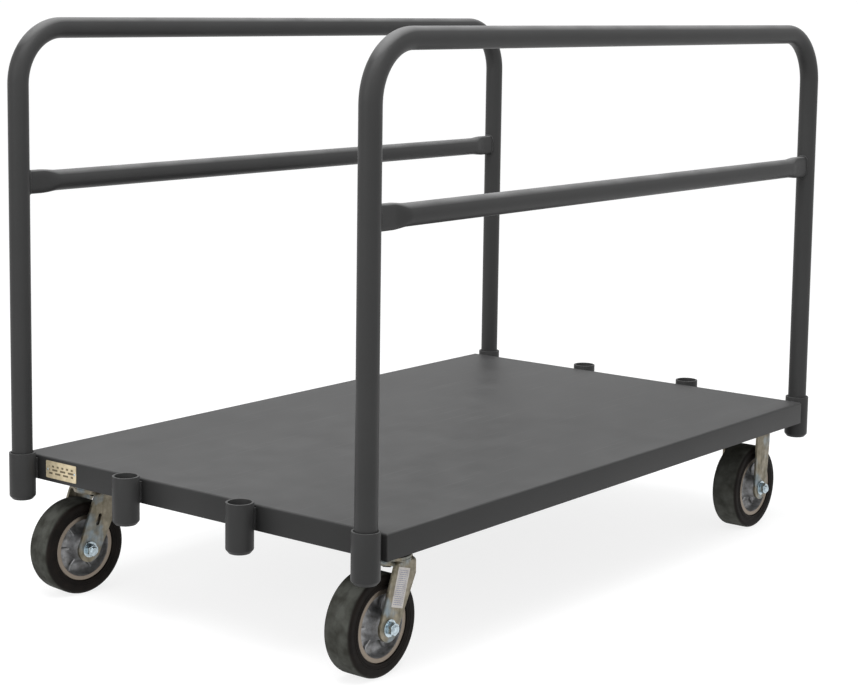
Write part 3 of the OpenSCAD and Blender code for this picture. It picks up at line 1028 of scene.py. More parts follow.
class AroundAxis(Repeater):
    """Copies of a part at even angles round Z."""

    def __init__(self) -> None:
        """Build the tree."""
        super().__init__(
            "copies_round_axis", [("Count", "NodeSocketInt"), ("First Angle", "NodeSocketFloat")]
        )
        tree, given = self.tree, self.given
        row = add_node(
            tree, "GeometryNodeMeshLine", None, {"Count": given["Count"], "Offset": (0, 0, 0)}
        )
        step = add_node(
            tree, "ShaderNodeMath", {"operation": "DIVIDE"}, {0: math.tau, 1: given["Count"]}
        )
        angle = add_node(
            tree, "ShaderNodeMath", {"operation": "MULTIPLY_ADD"},
            {0: add_node(tree, "GeometryNodeInputIndex").outputs[0], 1: step.outputs[0],
             2: given["First Angle"]},
        )
        spin = add_node(tree, "ShaderNodeCombineXYZ", None, {"Z": angle.outputs[0]})
        copies = add_node(
            tree, "GeometryNodeInstanceOnPoints", None,
            {"Points": row.outputs[0], "Instance": given["Geometry"], "Rotation": spin.outputs[0]},
        )
        self.close(copies.outputs[0])


class FourCorners(Repeater):
    """Copies of a part at the four corners of a rectangle."""

    def __init__(self) -> None:
        """Build the tree."""
        super().__init__(
            "copies_at_corners",
            [("Spacing X", "NodeSocketFloat"), ("Spacing Y", "NodeSocketFloat")],
        )
        corners = add_node(
            self.tree, "GeometryNodeMeshGrid", None,
            {"Size X": self.given["Spacing X"], "Size Y": self.given["Spacing Y"],
             "Vertices X": 2, "Vertices Y": 2},
        )
        copies = add_node(
            self.tree, "GeometryNodeInstanceOnPoints", None,
            {"Points": corners.outputs[0], "Instance": self.given["Geometry"]},
        )
        self.close(copies.outputs[0])


class WeldRun(Repeater):
    """A weld bead along a path: a row of overlapping frozen ripples."""

    def __init__(self) -> None:
        """Build the tree."""
        super().__init__(
            "weld_run",
            [("Radius", "NodeSocketFloat"), ("Ripple", "NodeSocketFloat"),
             ("Seed", "NodeSocketInt")],
        )
        tree, given = self.tree, self.given
        path = add_node(tree, "GeometryNodeMeshToCurve", None, {"Mesh": given["Geometry"]})
        even = add_node(
            tree, "GeometryNodeResampleCurve", {"mode": "LENGTH"},
            {"Curve": path.outputs[0], "Length": given["Ripple"]},
        )
        along = add_node(tree, "GeometryNodeInputTangent")
        aim = add_node(
            tree, "FunctionNodeAlignRotationToVector", {"axis": "Z"}, {"Vector": along.outputs[0]}
        )
        drop = add_node(
            tree, "GeometryNodeMeshUVSphere", None,
            {"Segments": 10, "Rings": 6, "Radius": given["Radius"]},
        )
        sway = add_node(
            tree, "FunctionNodeRandomValue", {"data_type": "FLOAT_VECTOR"},
            {0: (0.88, 0.88, 0.5), 1: (1.1, 1.1, 0.62), "Seed": given["Seed"]},
        )
        copies = add_node(
            tree, "GeometryNodeInstanceOnPoints", None,
            {"Points": even.outputs[0], "Instance": drop.outputs[0],
             "Rotation": aim.outputs[0], "Scale": sway.outputs[0]},
        )
        self.close(copies.outputs[0])


@dataclass
class Tools:
    """The three geometry trees that the sub-assemblies share."""

    around: AroundAxis
    corners: FourCorners
    weld: WeldRun

    def bead(
        self, paths: Iterable[Sequence[Vector]], radius: float, finish: Finishes, seed: int
    ) -> bmesh.types.BMesh:
        """Lay weld beads along paths.

        Args:
            paths: the points of each seam.
            radius: the bead's radius.
            finish: the paint on the bead.
            seed: the ripples' seed.

        Returns:
            The beads as one mesh.
        """
        lines = bmesh.new()
        for path in paths:
            points = [lines.verts.new(p) for p in path]
            for a, b in zip(points, points[1:]):
                lines.edges.new((a, b))
        made = self.weld.run(lines, finish, Radius=radius, Ripple=radius * 0.62, Seed=seed)
        out = bmesh.new()
        add_mesh(out, made, Matrix())
        return out


# ---- sub-assemblies -------------------------------------------------------------------


def middle_of(node: str) -> Vector:
    """Return the centre of a frame node's box."""
    low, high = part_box(node)
    return (low + high) / 2


@dataclass
class Deck:
    """The folded deck pan with the channels welded under it.

    Attributes:
        sheet: thickness of the deck sheet.
        bend: outside radius of the deck's bends.
        corner: rounding of the welded corners.
        channel_bend: outside radius of the channels' bends.
        bolster_sheet: thickness of the cross channels.
        stiffener_sheet: thickness of the lengthwise channels.
    """

    tools: Tools
    sheet: float = 2.7 * MM
    bend: float = 4 * MM
    corner: float = 1.6 * MM
    channel_bend: float = 7 * MM
    bolster_sheet: float = 4.8 * MM
    stiffener_sheet: float = 2.7 * MM

    def build(self) -> None:
        """Build and dress every piece of the deck."""
        self.pan()
        for end in ("swivel", "rigid"):
            self.channel(f"bolster_{end}", self.bolster_sheet, along_x=False)
        for side in ("left", "right"):
            self.channel(f"stiffener_{side}", self.stiffener_sheet, along_x=True)
        self.seams()

    def pan(self) -> None:
        """Loft the pan from rings that run round its edge, outside and in."""
        low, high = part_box("deck_pan")
        half = (high - low) / 2
        rings = []

        def ring(inset: float, z: float, corner: float) -> None:
            """Add a rounded rectangle this far inside the pan's edge, at height z."""
            x, y = half.x - inset, half.y - inset
            sharp = [(-x, -y), (x, -y), (x, y), (-x, y)]
            rings.append([Vector((px, py, z)) for px, py in round_corners(sharp, [corner] * 4, 5)])

        for k in range(9):
            a = math.radians(90 * k / 8)
            inset = self.bend * (1 - math.sin(a))
            ring(inset, high.z - self.bend * (1 - math.cos(a)), self.corner + inset * 0.2)
        for inset, lift in ((0.0, 0.5), (0.15, 0.15), (0.5, 0.0)):
            ring(inset * MM, low.z + lift * MM, self.corner)
        for inset, lift in ((0.5, 0.0), (0.15, 0.15), (0.0, 0.5)):
            ring(self.sheet - inset * MM, low.z + lift * MM, self.corner)
        inner = self.bend - self.sheet
        for k in range(5):
            a = math.radians(90 * (1 - k / 4))
            ring(self.sheet + inner * (1 - math.sin(a)),
                 high.z - self.sheet - inner * (1 - math.cos(a)), self.corner)
        bm = bmesh.new()
        loft(bm, rings)
        make_piece("deck_pan_folded", bm, "deck", Finishes.DECK, ["deck_pan"])

    def channel(self, node: str, sheet: float, along_x: bool) -> None:
        """Fold a channel from sheet, open at the top, in the place of a frame node.

        Args:
            node: the frame node that it stands for.
            sheet: thickness of its steel.
            along_x: True where it runs along X, False where it runs along Y.
        """
        low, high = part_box(node)
        size, centre = high - low, (low + high) / 2
        half = (size.y if along_x else size.x) / 2
        run = size.x if along_x else size.y
        up = size.z
        outer, inner = self.channel_bend, self.channel_bend - sheet
        corners = [(-half, up), (-half, 0), (half, 0), (half, up), (half - sheet, up),
                   (half - sheet, sheet), (-half + sheet, sheet), (-half + sheet, up)]
        cut_edge, fold = 0.4 * MM, max(inner, 0.5 * MM)
        section = round_corners(
            corners, [cut_edge, outer, outer, cut_edge, cut_edge, fold, fold, cut_edge]
        )
        foot = Vector((centre.x, centre.y, low.z))
        across = Vector((0, 1, 0)) if along_x else Vector((-1, 0, 0))
        axis = Vector((1, 0, 0)) if along_x else Vector((0, 1, 0))
        bm = bmesh.new()
        ends = []
        for t in (-0.5, 0.5):
            at = foot + axis * run * t
            ends.append([at + across * u + Vector((0, 0, v)) for u, v in section])
        loft(bm, ends)
        make_piece(f"{node}_folded", bm, "deck", Finishes.UNDER, [node])

    def seams(self) -> None:
        """Lay the welds that hold the channels under the deck."""
        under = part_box("deck_pan")[1].z - self.sheet
        half_run = 18 * MM
        paths = []
        for end in ("swivel", "rigid"):
            low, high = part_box(f"bolster_{end}")
            for x, away in ((low.x, -1), (high.x, 1)):
                for y in (-0.33, -0.16, 0.0, 0.16, 0.33):
                    at = Vector((x + away * 1.2 * MM, y * (high.y - low.y), under - 1.2 * MM))
                    paths.append([at - Vector((0, half_run, 0)), at + Vector((0, half_run, 0))])
        for side in ("left", "right"):
            low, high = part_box(f"stiffener_{side}")
            for y, away in ((low.y, -1), (high.y, 1)):
                for x in (-0.3, 0.0, 0.3):
                    at = Vector((x * (high.x - low.x), y + away * MM, under - MM))
                    paths.append([at - Vector((half_run, 0, 0)), at + Vector((half_run, 0, 0))])
        bm = self.tools.bead(paths, 2.4 * MM, Finishes.UNDER, 11)
        make_piece("underside_weld_beads", bm, "deck", Finishes.UNDER, turn_out=False, sharp=60)


@dataclass
class SocketRow:
    """Four pipe sockets welded to one end of the deck.

    Attributes:
        end: "swivel" or "rigid".
        bore: radius of the socket's bore.
        lip: thickness of the lip at the bottom.
        drain: radius of the drain hole.
        swage: how far the bottom end is swaged in, and over what height.
        ease: rounding of the pipe's cut ends.
        bead: radius of the weld bead.
    """

    tools: Tools
    end: str
    bore: float = 17.525 * MM
    lip: float = 4 * MM
    drain: float = 10 * MM
    swage: Point2 = (5 * MM, 6 * MM)
    ease: float = 0.7 * MM
    bead: float = 2.6 * MM

    def build(self) -> None:
        """Build the sockets and their welds."""
        for index in range(1, 5):
            self.socket(f"socket_{self.end}_{index}")
        self.welds()

    def socket(self, node: str) -> None:
        """Turn one socket.

        Args:
            node: the frame node that it stands for.
        """
        low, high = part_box(node)
        outer, tall, e = (high.x - low.x) / 2, high.z - low.z, self.ease
        foot, bend = outer - self.swage[0], self.swage[1]
        profile = [
            (self.drain, 0.3 * MM), (self.drain + 0.3 * MM, 0), (foot - e, 0),
            (foot + 0.3 * e, 0.4 * e), (outer - 1.2 * e, bend - 1.6 * e),
            (outer - 0.3 * e, bend), (outer, bend + 1.6 * e), (outer, tall - e),
            (outer - 0.3 * e, tall - 0.3 * e), (outer - e, tall), (self.bore + e, tall),
            (self.bore + 0.3 * e, tall - 0.3 * e), (self.bore, tall - e),
            (self.bore, self.lip + MM), (self.bore - MM, self.lip), (self.drain, self.lip),
        ]
        bm = bmesh.new()
        place = Matrix.Translation(((low.x + high.x) / 2, (low.y + high.y) / 2, low.z))
        revolve(bm, profile, place, 64)
        make_piece(f"{node}_pipe", bm, "deck", Finishes.BODY, [node])

    def welds(self) -> None:
        """Lay a bead down each side of each socket."""
        deck_low, deck_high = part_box("deck_pan")
        node = f"socket_welds_{self.end}"
        out = -1 if self.end == "swivel" else 1
        face = deck_low.x if out < 0 else deck_high.x
        paths = []
        for index in range(1, 5):
            low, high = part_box(f"socket_{self.end}_{index}")
            y, outer = (low.y + high.y) / 2, (high.x - low.x) / 2
            for side in (-1, 1):
                reach = 11.4 * MM
                if abs(y + side * outer) > deck_high.y - 3 * MM:
                    continue
                gap = outer - math.sqrt(outer**2 - reach**2)
                x = face + out * gap * 0.5
                top, foot = deck_high.z - 5.5 * MM, deck_low.z + 2.5 * MM
                paths.append([Vector((x, y + side * reach, z)) for z in (top, foot)])
        bm = self.tools.bead(paths, self.bead, Finishes.BODY, 3)
        make_piece(f"socket_weld_beads_{self.end}", bm, "deck", Finishes.BODY, [node],
                   sharp=60, turn_out=False)


@dataclass
class SideRail:
    """One lift-out rail: a bent hoop and a middle rail with pressed-flat ends.

    Attributes:
        side: "left" or "right".
        wall: the pipe's wall.
        bend: centre-line radius of the hoop's bends.
        middle_z: height of the middle rail's centre.
        flat: half thickness of the pressed ends.
        flat_length: length of the pressed ends.
        blend: length from round to flat.
    """

    tools: Tools
    side: str
    wall: float = 3.4 * MM
    bend: float = 89 * MM
    middle_z: float = 669.5 * MM
    flat: float = 9.6 * MM
    flat_length: float = 26 * MM
    blend: float = 34 * MM

    def build(self) -> None:
        """Build the hoop, the middle rail and its welds."""
        self.low, self.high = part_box(f"rail_{self.side}_hoop")
        self.radius = (self.high.y - self.low.y) / 2
        self.y = (self.low.y + self.high.y) / 2
        self.post_x = self.high.x - self.radius
        self.hoop()
        self.middle()
        self.welds()

    def hoop(self) -> None:
        """Sweep the pipe up, over and down, outside and in."""
        top = self.high.z - self.radius
        path = [(Vector((-self.post_x, self.y, self.low.z)), math.pi)]
        for sign, start in ((-1, math.pi), (1, math.pi / 2)):
            for k in range(25):
                a = start - math.pi / 2 * k / 24
                x = sign * (self.post_x - self.bend) + self.bend * math.cos(a)
                path.append((Vector((x, self.y, top - self.bend + self.bend * math.sin(a))), a))
        path.append((Vector((self.post_x, self.y, self.low.z)), 0.0))

        def rings(radius: float) -> list[Ring]:
            """Return a circle of this radius round each point of the path."""
            out = []
            for at, a in path:
                outward = Vector((math.cos(a), 0, math.sin(a)))
                out.append([
                    at + radius * (math.cos(t) * outward + math.sin(t) * Vector((0, 1, 0)))
                    for t in (math.tau * k / 48 for k in range(48))
                ])
            return out

        bm = bmesh.new()
        loft(bm, rings(self.radius) + rings(self.radius - self.wall)[::-1], closed=True)
        make_piece(f"rail_{self.side}_hoop_pipe", bm, f"rail_{self.side}", Finishes.RAIL,
                   [f"rail_{self.side}_hoop"], sharp=50)

    def section(self, press: float, half_height: float) -> list[Point2]:
        """Return the middle rail's section.

        Args:
            press: 0 for a round pipe and 1 for the pressed end.
            half_height: half height of the pressed end.

        Returns:
            (across, up) points.
        """
        across = self.radius + (self.flat - self.radius) * press
        up = self.radius + (half_height - self.radius) * press
        power = 2 / (2 + 1.4 * press)
        out = []
        for k in range(48):
            c, s = math.cos(math.tau * k / 48), math.sin(math.tau * k / 48)
            out.append((across * math.copysign(abs(c) ** power, c),
                        up * math.copysign(abs(s) ** power, s)))
        return out

    def middle(self) -> None:
        """Loft the middle rail through its pressed ends up to the posts."""
        low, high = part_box(f"rail_{self.side}_middle")
        half_height = (high.z - low.z) / 2
        edge = self.post_x - self.radius
        start = edge - self.flat_length - self.blend
        stations = [(start * t, 0.0) for t in (0.0, 0.5, 1.0)]
        for k in range(1, 13):
            t = k / 12
            stations.append((start + self.blend * t, t * t * (3 - 2 * t)))
        stations.append((edge - 4 * MM, 1.0))
        rings = []
        for x, press in stations:
            pts = self.section(press, half_height)
            rings.append([Vector((x, self.y + u, self.middle_z + v)) for u, v in pts])
        pts = self.section(1.0, half_height)
        rings.append([
            Vector((self.post_x - math.sqrt(self.radius**2 - u**2) + 0.5 * MM,
                    self.y + u, self.middle_z + v))
            for u, v in pts
        ])
        mirrored = [[Vector((-p.x, p.y, p.z)) for p in ring] for ring in rings[1:][::-1]]
        bm = bmesh.new()
        loft(bm, mirrored + rings)
        make_piece(f"rail_{self.side}_middle_pipe", bm, f"rail_{self.side}", Finishes.RAIL,
                   [f"rail_{self.side}_middle"], sharp=50)

    def welds(self) -> None:
        """Lay a bead round each end of the middle rail."""
        low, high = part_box(f"rail_{self.side}_middle")
        pts = self.section(1.0, (high.z - low.z) / 2)
        paths = []
        for end in (-1, 1):
            loop = [
                Vector((end * (self.post_x - math.sqrt(self.radius**2 - u**2) - 0.3 * MM),
                        self.y + u, self.middle_z + v))
                for u, v in [*pts, pts[0]]
            ]
            paths.append(loop)
        bm = self.tools.bead(paths, 2.3 * MM, Finishes.RAIL, 5)
        make_piece(f"rail_{self.side}_weld_beads", bm, f"rail_{self.side}", Finishes.RAIL,
                   sharp=60, turn_out=False)


@dataclass
class Nameplate:
    """The blank rating plate on the swivel end's flange, with its two rivets.

    Attributes:
        rim: width of the raised border.
        rise: height of the border over the field.
        rivet: radius of a rivet's head.
    """

    rim: float = 1.5 * MM
    rise: float = 0.25 * MM
    rivet: float = 2 * MM

    def build(self) -> None:
        """Build the plate and the rivets."""
        low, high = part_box("nameplate")
        width, tall, thick = high.y - low.y, high.z - low.z, high.x - low.x
        centre = (low + high) / 2
        home = aimed(Vector((high.x, centre.y, centre.z)), Vector((-1, 0, 0)), Vector((0, -1, 0)))
        bm = bmesh.new()
        rings = []
        for inset, z in ((0, 0), (0, thick - 0.15 * MM), (0.15 * MM, thick), (self.rim, thick),
                         (self.rim + 0.2 * MM, thick - self.rise)):
            x, y = width / 2 - inset, tall / 2 - inset
            sharp = [(-x, -y), (x, -y), (x, y), (-x, y)]
            rings.append([home @ Vector((u, v, z)) for u, v in round_corners(sharp, [2 * MM] * 4)])
        loft(bm, rings)
        map_sheet(bm, home, width, tall)
        make_piece("nameplate_etched", bm, "deck", Finishes.NAMEPLATE, ["nameplate"])
        low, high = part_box("nameplate_rivets")
        bm = bmesh.new()
        for y in (low.y + self.rivet, high.y - self.rivet):
            at = aimed(Vector((high.x, y, centre.z)), Vector((-1, 0, 0)), Vector((0, 1, 0)))
            r, h = self.rivet, high.x - low.x
            dome = [(r * math.cos(a), h * math.sin(a)) for a in (0, 0.35, 0.7, 1.05, 1.3)]
            revolve(bm, [(0.0, -0.2 * MM), (r, -0.2 * MM), *dome, (0.0, h)], at, 24)
        make_piece("nameplate_rivet_heads", bm, "deck", Finishes.BOLT, ["nameplate_rivets"])


@dataclass
class Wheel:
    """One rubber-tyred wheel: cast core, bearing and tyre.

    Attributes:
        prefix: the caster's name, such as "swivel_left".
        place: the wheel's centre.
        axis: the axle's direction.
        radius: the tyre's outer radius.
        half_tyre: half width of the tyre.
        bond: radius at which the tyre meets the core.
        half_rim: half width of the core's rim.
        half_hub: half length of the hub.
        ribs: ribs on each side of the web.
    """

    tools: Tools
    prefix: str
    place: Vector
    axis: Vector
    radius: float = 76.2 * MM
    half_tyre: float = 25 * MM
    bond: float = 54 * MM
    half_rim: float = 22.5 * MM
    half_hub: float = 30.75 * MM
    ribs: int = 6

    def build(self) -> None:
        """Build the core, the tyre and the bearing's finish."""
        self.home = aimed(self.place, self.axis, Vector((0, 0, 1)))
        self.core()
        self.tyre()
        dress_node(f"{self.prefix}_bearing", Finishes.BEARING)

    def core(self) -> None:
        """Turn the core and set its ribs."""
        hub, rim = self.half_hub / MM, self.half_rim / MM
        half = [
            (14.0, hub - 0.6), (14.6, hub), (17.2, hub), (18.2, hub - 0.6), (18.8, hub - 2.2),
            (20.6, 17.4),
            (22.4, 12.2), (24.8, 8.4), (27.6, 5.6), (31.0, 4.3), (36.0, 4.0), (40.5, 4.6),
            (43.0, 6.6), (44.6, 10.0), (45.3, 15.0), (45.8, 20.4), (46.2, 21.8),
            (46.9, rim), (52.9, rim), (53.7, rim - 0.5), (54.0, rim - 1.4),
        ]
        profile = [(r * MM, z * MM) for r, z in half]
        profile += [(r * MM, -z * MM) for r, z in reversed(half)]
        bm = bmesh.new()
        revolve(bm, profile, self.home, 96)
        for face in (1, -1):
            blade = bmesh.new()
            edge = [(19.0, 1.0), (19.0, 15.0), (23.5, 10.8), (34.0, 7.6), (44.6, 9.8), (44.6, 1.0)]
            outline = [(x * MM, z * MM) for x, z in edge]
            stand = Matrix(((1, 0, 0, 0), (0, 0, -1, 2.2 * MM), (0, face, 0, 0), (0, 0, 0, 1)))
            slab(blade, outline, [], 4.4 * MM, stand, 1.6 * MM)
            start = 0.0 if face > 0 else math.pi / self.ribs
            made = self.tools.around.run(blade, Finishes.CORE, Count=self.ribs, First_Angle=start)
            add_mesh(bm, made, self.home)
        mark_turning(bm, self.place, self.axis)
        make_piece(f"{self.prefix}_core_cast", bm, f"{self.prefix}_wheel", Finishes.CORE,
                   [f"{self.prefix}_core"])

    def tyre(self) -> None:
        """Turn the tyre, with moulded rings on its walls and a faint mould line."""
        bond, r, w = self.bond / MM, self.radius / MM, self.half_tyre / MM
        wall = [(bond, self.half_rim / MM + 0.2), (bond + 0.8, w - 1.0), (bond + 2.4, w - 0.5)]
        for at in (58.2, 61.6):
            wall += [(at, w - 0.5), (at + 0.3, w), (at + 0.9, w), (at + 1.2, w - 0.5)]
        wall += [(67.5, w - 0.5)]
        shoulder = 7.0
        turn = arc((r - shoulder, w - shoulder - 0.3), shoulder, 86, 8, 9)
        wall += [(x - 0.05, z) for x, z in turn]
        tread = [(r - 0.02, w - shoulder - 2.5), (r, 9.0), (r, 0.5), (r - 0.25, 0.3)]
        half = wall + tread
        profile = [(x * MM, z * MM) for x, z in half] + [(x * MM, -z * MM) for x, z in half[::-1]]
        bm = bmesh.new()
        revolve(bm, profile, self.home, 128)
        mark_turning(bm, self.place, self.axis)
        make_piece(f"{self.prefix}_tyre_moulded", bm, f"{self.prefix}_wheel", Finishes.TYRE,
                   [f"{self.prefix}_tyre"])


@dataclass
class Caster:
    """What the swivel and the rigid casters share: plate, bolts, fork, axle and wheel.

    Attributes:
        kind: "swivel" or "rigid".
        side: "left" or "right".
        plate_bolt: radius of the plate's bolts.
        head: corner radius of their heads and nuts.
        channel: thickness of the channel that they pass through.
        axle: radius of the axle bolt.
        nut: corner radius of its head and nut.
        washer: radius of its washers.
        half_gap: half of the space between the fork's legs.
        leg: thickness of the fork's legs.
    """

    tools: Tools
    kind: str
    side: str
    plate_bolt: float = 4.75 * MM
    head: float = 8.2 * MM
    channel: float = 4.8 * MM
    axle: float = 6.35 * MM
    nut: float = 10 * MM
    washer: float = 13 * MM
    half_gap: float = 31.5 * MM
    leg: float = 4.8 * MM

    @property
    def prefix(self) -> str:
        """Return the caster's name."""
        return f"{self.kind}_{self.side}"

    @property
    def fork_body(self) -> str:
        """Return the body that the fork is part of."""
        return self.prefix if self.kind == "swivel" else "deck"

    def build(self) -> None:
        """Build and dress the whole caster."""
        joints = {j["name"]: j for j in frame["joints"]}
        roll = joints[f"{self.prefix}_roll"]
        self.place, self.axis = Vector(roll["pos_m"]), Vector(roll["axis"]).normalized()
        self.plate()
        self.bolts()
        self.fork()
        self.axle_bolt()
        dress_node(f"{self.prefix}_sleeve", Finishes.BOLT)
        Wheel(self.tools, self.prefix, self.place, self.axis).build()

    def plate(self) -> None:
        """Ease the plate's edges."""
        make_piece(f"{self.prefix}_plate_pressed", node_copy(f"{self.prefix}_plate", 0.5 * MM),
                   "deck", Finishes.FORK, [f"{self.prefix}_plate"], turn_out=False)

    def fork(self) -> None:
        """Ease the fork's edges."""
        make_piece(f"{self.prefix}_fork_pressed", node_copy(f"{self.prefix}_fork", 0.55 * MM),
                   self.fork_body, Finishes.FORK, [f"{self.prefix}_fork"], turn_out=False)

    def bolts(self) -> None:
        """Make one bolt with its nut and set it at the plate's four holes."""
        node = f"{self.prefix}_bolts"
        low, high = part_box(node)
        plate_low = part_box(f"{self.prefix}_plate")[1].z
        seat = plate_low - 6.35 * MM
        top = plate_low + self.channel
        bolt = bmesh.new()
        tall = seat - low.z
        flip = Matrix.Translation((0, 0, seat)) @ Matrix.Rotation(math.pi, 4, "X")
        hex_head(bolt, self.head, tall, flip)
        revolve(bolt, [(0.0, seat), (self.plate_bolt, seat), (self.plate_bolt, top), (0.0, top)],
                Matrix(), 24)
        hex_head(bolt, self.head, 8 * MM, Matrix.Translation((0, 0, top)), both=True)
        revolve(bolt, thread(self.plate_bolt, top + 6 * MM, high.z, 1.5 * MM), Matrix(), 24)
        reach = self.head * 2
        across = self.head * 2 * math.cos(math.pi / 6)
        made = self.tools.corners.run(
            bolt, Finishes.BOLT, Spacing_X=high.x - low.x - reach, Spacing_Y=high.y - low.y - across
        )
        bm = bmesh.new()
        add_mesh(bm, made, Matrix.Translation((middle_of(node).x, middle_of(node).y, 0)))
        make_piece(f"{self.prefix}_plate_fasteners", bm, "deck", Finishes.BOLT, [node])

    def axle_bolt(self) -> None:
        """Make the axle bolt with its head, washers, nut and threaded end."""
        node = f"{self.prefix}_axle"
        home = aimed(self.place, -self.axis, Vector((0, 0, 1)))
        face = self.half_gap + self.leg
        thin, nut_tall, spare = 1.6 * MM, 9 * MM, 3 * MM
        bm = bmesh.new()
        e = 0.3 * MM
        for side in (-1, 1):
            near, far = side * face, side * (face + thin)
            ring = [(self.axle + e, near), (self.washer - e, near), (self.washer, near + side * e),
                    (self.washer, far - side * e), (self.washer - e, far), (self.axle + e, far)]
            revolve(bm, ring, home, 48)
        shank = [(0.0, -face - thin), (self.axle, -face - thin), (self.axle, face), (0.0, face)]
        revolve(bm, shank, home, 32)
        hex_head(bm, self.nut, nut_tall - MM,
                 home @ Matrix.Translation((0, 0, -face - thin)) @ Matrix.Rotation(math.pi, 4, "X"))
        hex_head(bm, self.nut, nut_tall, home @ Matrix.Translation((0, 0, face + thin)), both=True)
        end = face + thin + nut_tall + spare
        revolve(bm, thread(self.axle, face + thin + nut_tall - MM, end, 1.6 * MM), home, 32)
        make_piece(f"{self.prefix}_axle_bolt", bm, self.fork_body, Finishes.BOLT, [node])


@dataclass
class SwivelCaster(Caster):
    """A swivel caster: the shared pieces with a kingpin, a ball race and, on one, a label.

    Attributes:
        kind: always "swivel".
        balls: balls in the race.
        race: radius of the circle of balls.
        ball: radius of a ball.
        tilt: lean of the label, in degrees.
        label_size: width and height of the label.
    """

    kind: str = "swivel"
    side: str = "left"
    balls: int = 18
    race: float = 30 * MM
    ball: float = 4 * MM
    tilt: float = 17.0
    label_size: Point2 = (27 * MM, 58 * MM)

    def build(self) -> None:
        """Build the shared pieces, then the swivel's own."""
        super().build()
        make_piece(f"{self.prefix}_kingpin_bolt", node_copy(f"{self.prefix}_kingpin", 0.5 * MM),
                   "deck", Finishes.BOLT, [f"{self.prefix}_kingpin"], turn_out=False)
        self.ball_race()
        if self.side == "right":
            self.label()

    def ball_race(self) -> None:
        """Set the balls round the kingpin."""
        one = bmesh.new()
        bmesh.ops.create_icosphere(one, subdivisions=2, radius=self.ball)
        bmesh.ops.translate(one, verts=one.verts, vec=(self.race, 0, 0))
        made = self.tools.around.run(one, Finishes.BEARING, Count=self.balls, First_Angle=0.0)
        bm = bmesh.new()
        add_mesh(bm, made, Matrix.Translation(middle_of(f"{self.prefix}_balls")))
        make_piece(f"{self.prefix}_race_balls", bm, "deck", Finishes.BEARING,
                   [f"{self.prefix}_balls"], sharp=80)

    def label(self) -> None:
        """Lay the printed label on the fork's outer leg."""
        node = "swivel_right_label"
        low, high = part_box(node)
        width, tall = self.label_size
        thick = high.y - low.y
        lean = math.radians(self.tilt)
        up = Vector((math.sin(lean), 0, math.cos(lean)))
        home = aimed(
            Vector((middle_of(node).x, high.y, middle_of(node).z)), Vector((0, -1, 0)),
            up.cross(Vector((0, -1, 0))),
        )
        bm = bmesh.new()
        half = [(-width / 2, -tall / 2), (width / 2, -tall / 2), (width / 2, tall / 2),
                (-width / 2, tall / 2)]
        slab(bm, round_corners(half, [MM] * 4), [], thick, home)
        map_sheet(bm, home, width, tall)
        make_piece("swivel_right_label_printed", bm, self.fork_body, Finishes.LABEL, [node])


# ---- studio ---------------------------------------------------------------------------


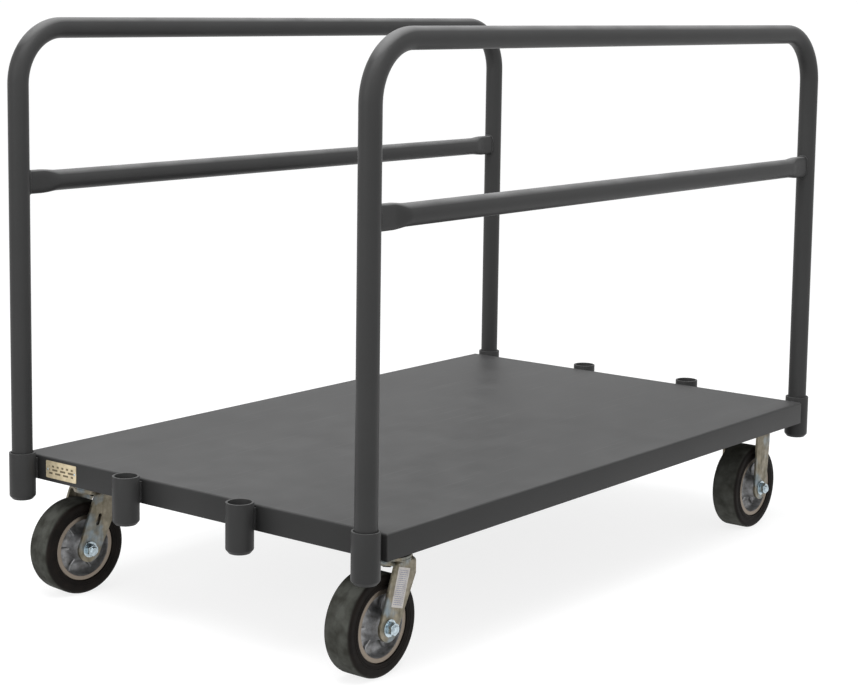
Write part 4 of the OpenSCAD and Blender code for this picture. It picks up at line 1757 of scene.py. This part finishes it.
@dataclass
class Studio:
    """A pale floor, soft lights and the camera.

    Attributes:
        target: the point the camera's distance is measured from.
        azimuth: the camera's direction round the truck, in degrees.
        elevation: its height angle, in degrees.
        roll: its roll, in degrees.
        distance: metres from the target.
        lens: focal length for a 36 mm sensor.
        shift: vertical shift as a share of the sensor's width.
    """

    target: Vector
    azimuth: float = -51.934
    elevation: float = 7.21
    roll: float = 0.832
    distance: float = 3.3697
    lens: float = 82.739
    shift: float = -0.11655

    def build(self) -> None:
        """Set up the floor, the lights and the camera."""
        self.floor()
        self.lights()
        self.camera()

    def floor(self) -> None:
        """Lay a round floor that curves up into a far wall."""
        reach, wall = 60.0, 30.0
        section = [(0.0, 0.0), (reach, 0.0)] + arc((reach, wall), wall, -75, 60, 9)
        bm = bmesh.new()
        rows = [[bm.verts.new((0, 0, 0))]]
        for radius, height in section[1:]:
            angles = [math.tau * k / 64 for k in range(64)]
            rows.append([
                bm.verts.new((radius * math.cos(a), radius * math.sin(a), height)) for a in angles
            ])
        for k in range(64):
            bm.faces.new((rows[0][0], rows[1][k], rows[1][(k + 1) % 64]))
            for low, high in zip(rows[1:], rows[2:]):
                bm.faces.new((low[k], high[k], high[(k + 1) % 64], low[(k + 1) % 64]))
        mesh = bpy.data.meshes.new("studio_floor")
        bm.to_mesh(mesh)
        bm.free()
        mesh.shade_smooth()
        mesh.materials.append(Finishes.FLOOR.value.material())
        floor = bpy.data.objects.new("studio_floor", mesh)
        bpy.context.scene.collection.objects.link(floor)

    def lights(self) -> None:
        """Hang the soft lights and set the room's own light."""
        world = bpy.data.worlds.new("studio_room")
        world.use_nodes = True
        world.node_tree.nodes["Background"].inputs[0].default_value = linear("f4f6f8")
        world.node_tree.nodes["Background"].inputs[1].default_value = 0.6
        bpy.context.scene.world = world
        for name, place, aim, size, power in (
            ("overhead_softbox", (-0.9, -0.4, 3.1), (-0.1, 0, 0.2), 2.6, 125),
            ("left_softbox", (-3.6, 0.2, 1.7), (-0.4, 0, 0.4), 1.8, 22),
            ("front_softbox", (-1.8, -4.0, 1.9), (-0.4, 0, 0.3), 1.6, 1),
        ):
            lamp = bpy.data.lights.new(name, "AREA")
            lamp.shape, lamp.size, lamp.energy = "SQUARE", size, power
            holder = bpy.data.objects.new(name, lamp)
            holder.location = place
            way = Vector(aim) - Vector(place)
            holder.rotation_euler = way.to_track_quat("-Z", "Y").to_euler()
            bpy.context.scene.collection.objects.link(holder)

    def camera(self) -> None:
        """Place the camera at its angle, level but for its small roll."""
        a, e = math.radians(self.azimuth), math.radians(self.elevation)
        back = Vector((math.sin(a) * math.cos(e), -math.cos(a) * math.cos(e), math.sin(e)))
        right = (-back).cross(Vector((0, 0, 1))).normalized()
        up = back.cross(right)
        c, s = math.cos(math.radians(self.roll)), math.sin(math.radians(self.roll))
        x, y = right * c + up * s, up * c - right * s
        lens = bpy.data.cameras.new("studio_camera")
        lens.sensor_width, lens.lens, lens.shift_y = 36.0, self.lens, self.shift
        lens.clip_start, lens.clip_end = 0.05, 600
        holder = bpy.data.objects.new("studio_camera", lens)
        turn = Matrix((x, y, back)).transposed().to_4x4()
        holder.matrix_world = Matrix.Translation(self.target + back * self.distance) @ turn
        bpy.context.scene.collection.objects.link(holder)
        bpy.context.scene.camera = holder
        bpy.context.scene.view_settings.view_transform = "Standard"


def main() -> None:
    """Build the truck piece by piece, then the studio."""
    logging.basicConfig(level=logging.INFO, format="%(message)s")
    tools = Tools(AroundAxis(), FourCorners(), WeldRun())
    deck_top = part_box("deck_pan")[1].z
    assemblies: list[object] = [Deck(tools), Nameplate()]
    assemblies += [SocketRow(tools, end) for end in ("swivel", "rigid")]
    assemblies += [SideRail(tools, side) for side in ("left", "right")]
    assemblies += [SwivelCaster(tools, side=side) for side in ("left", "right")]
    assemblies += [Caster(tools, "rigid", side) for side in ("left", "right")]
    assemblies.append(Studio(Vector((-0.0391, 0, deck_top + 0.3114))))
    for assembly in assemblies:
        assembly.build()
        log.info("built %s", type(assembly).__name__)


if __name__ == "__main__":
    main()
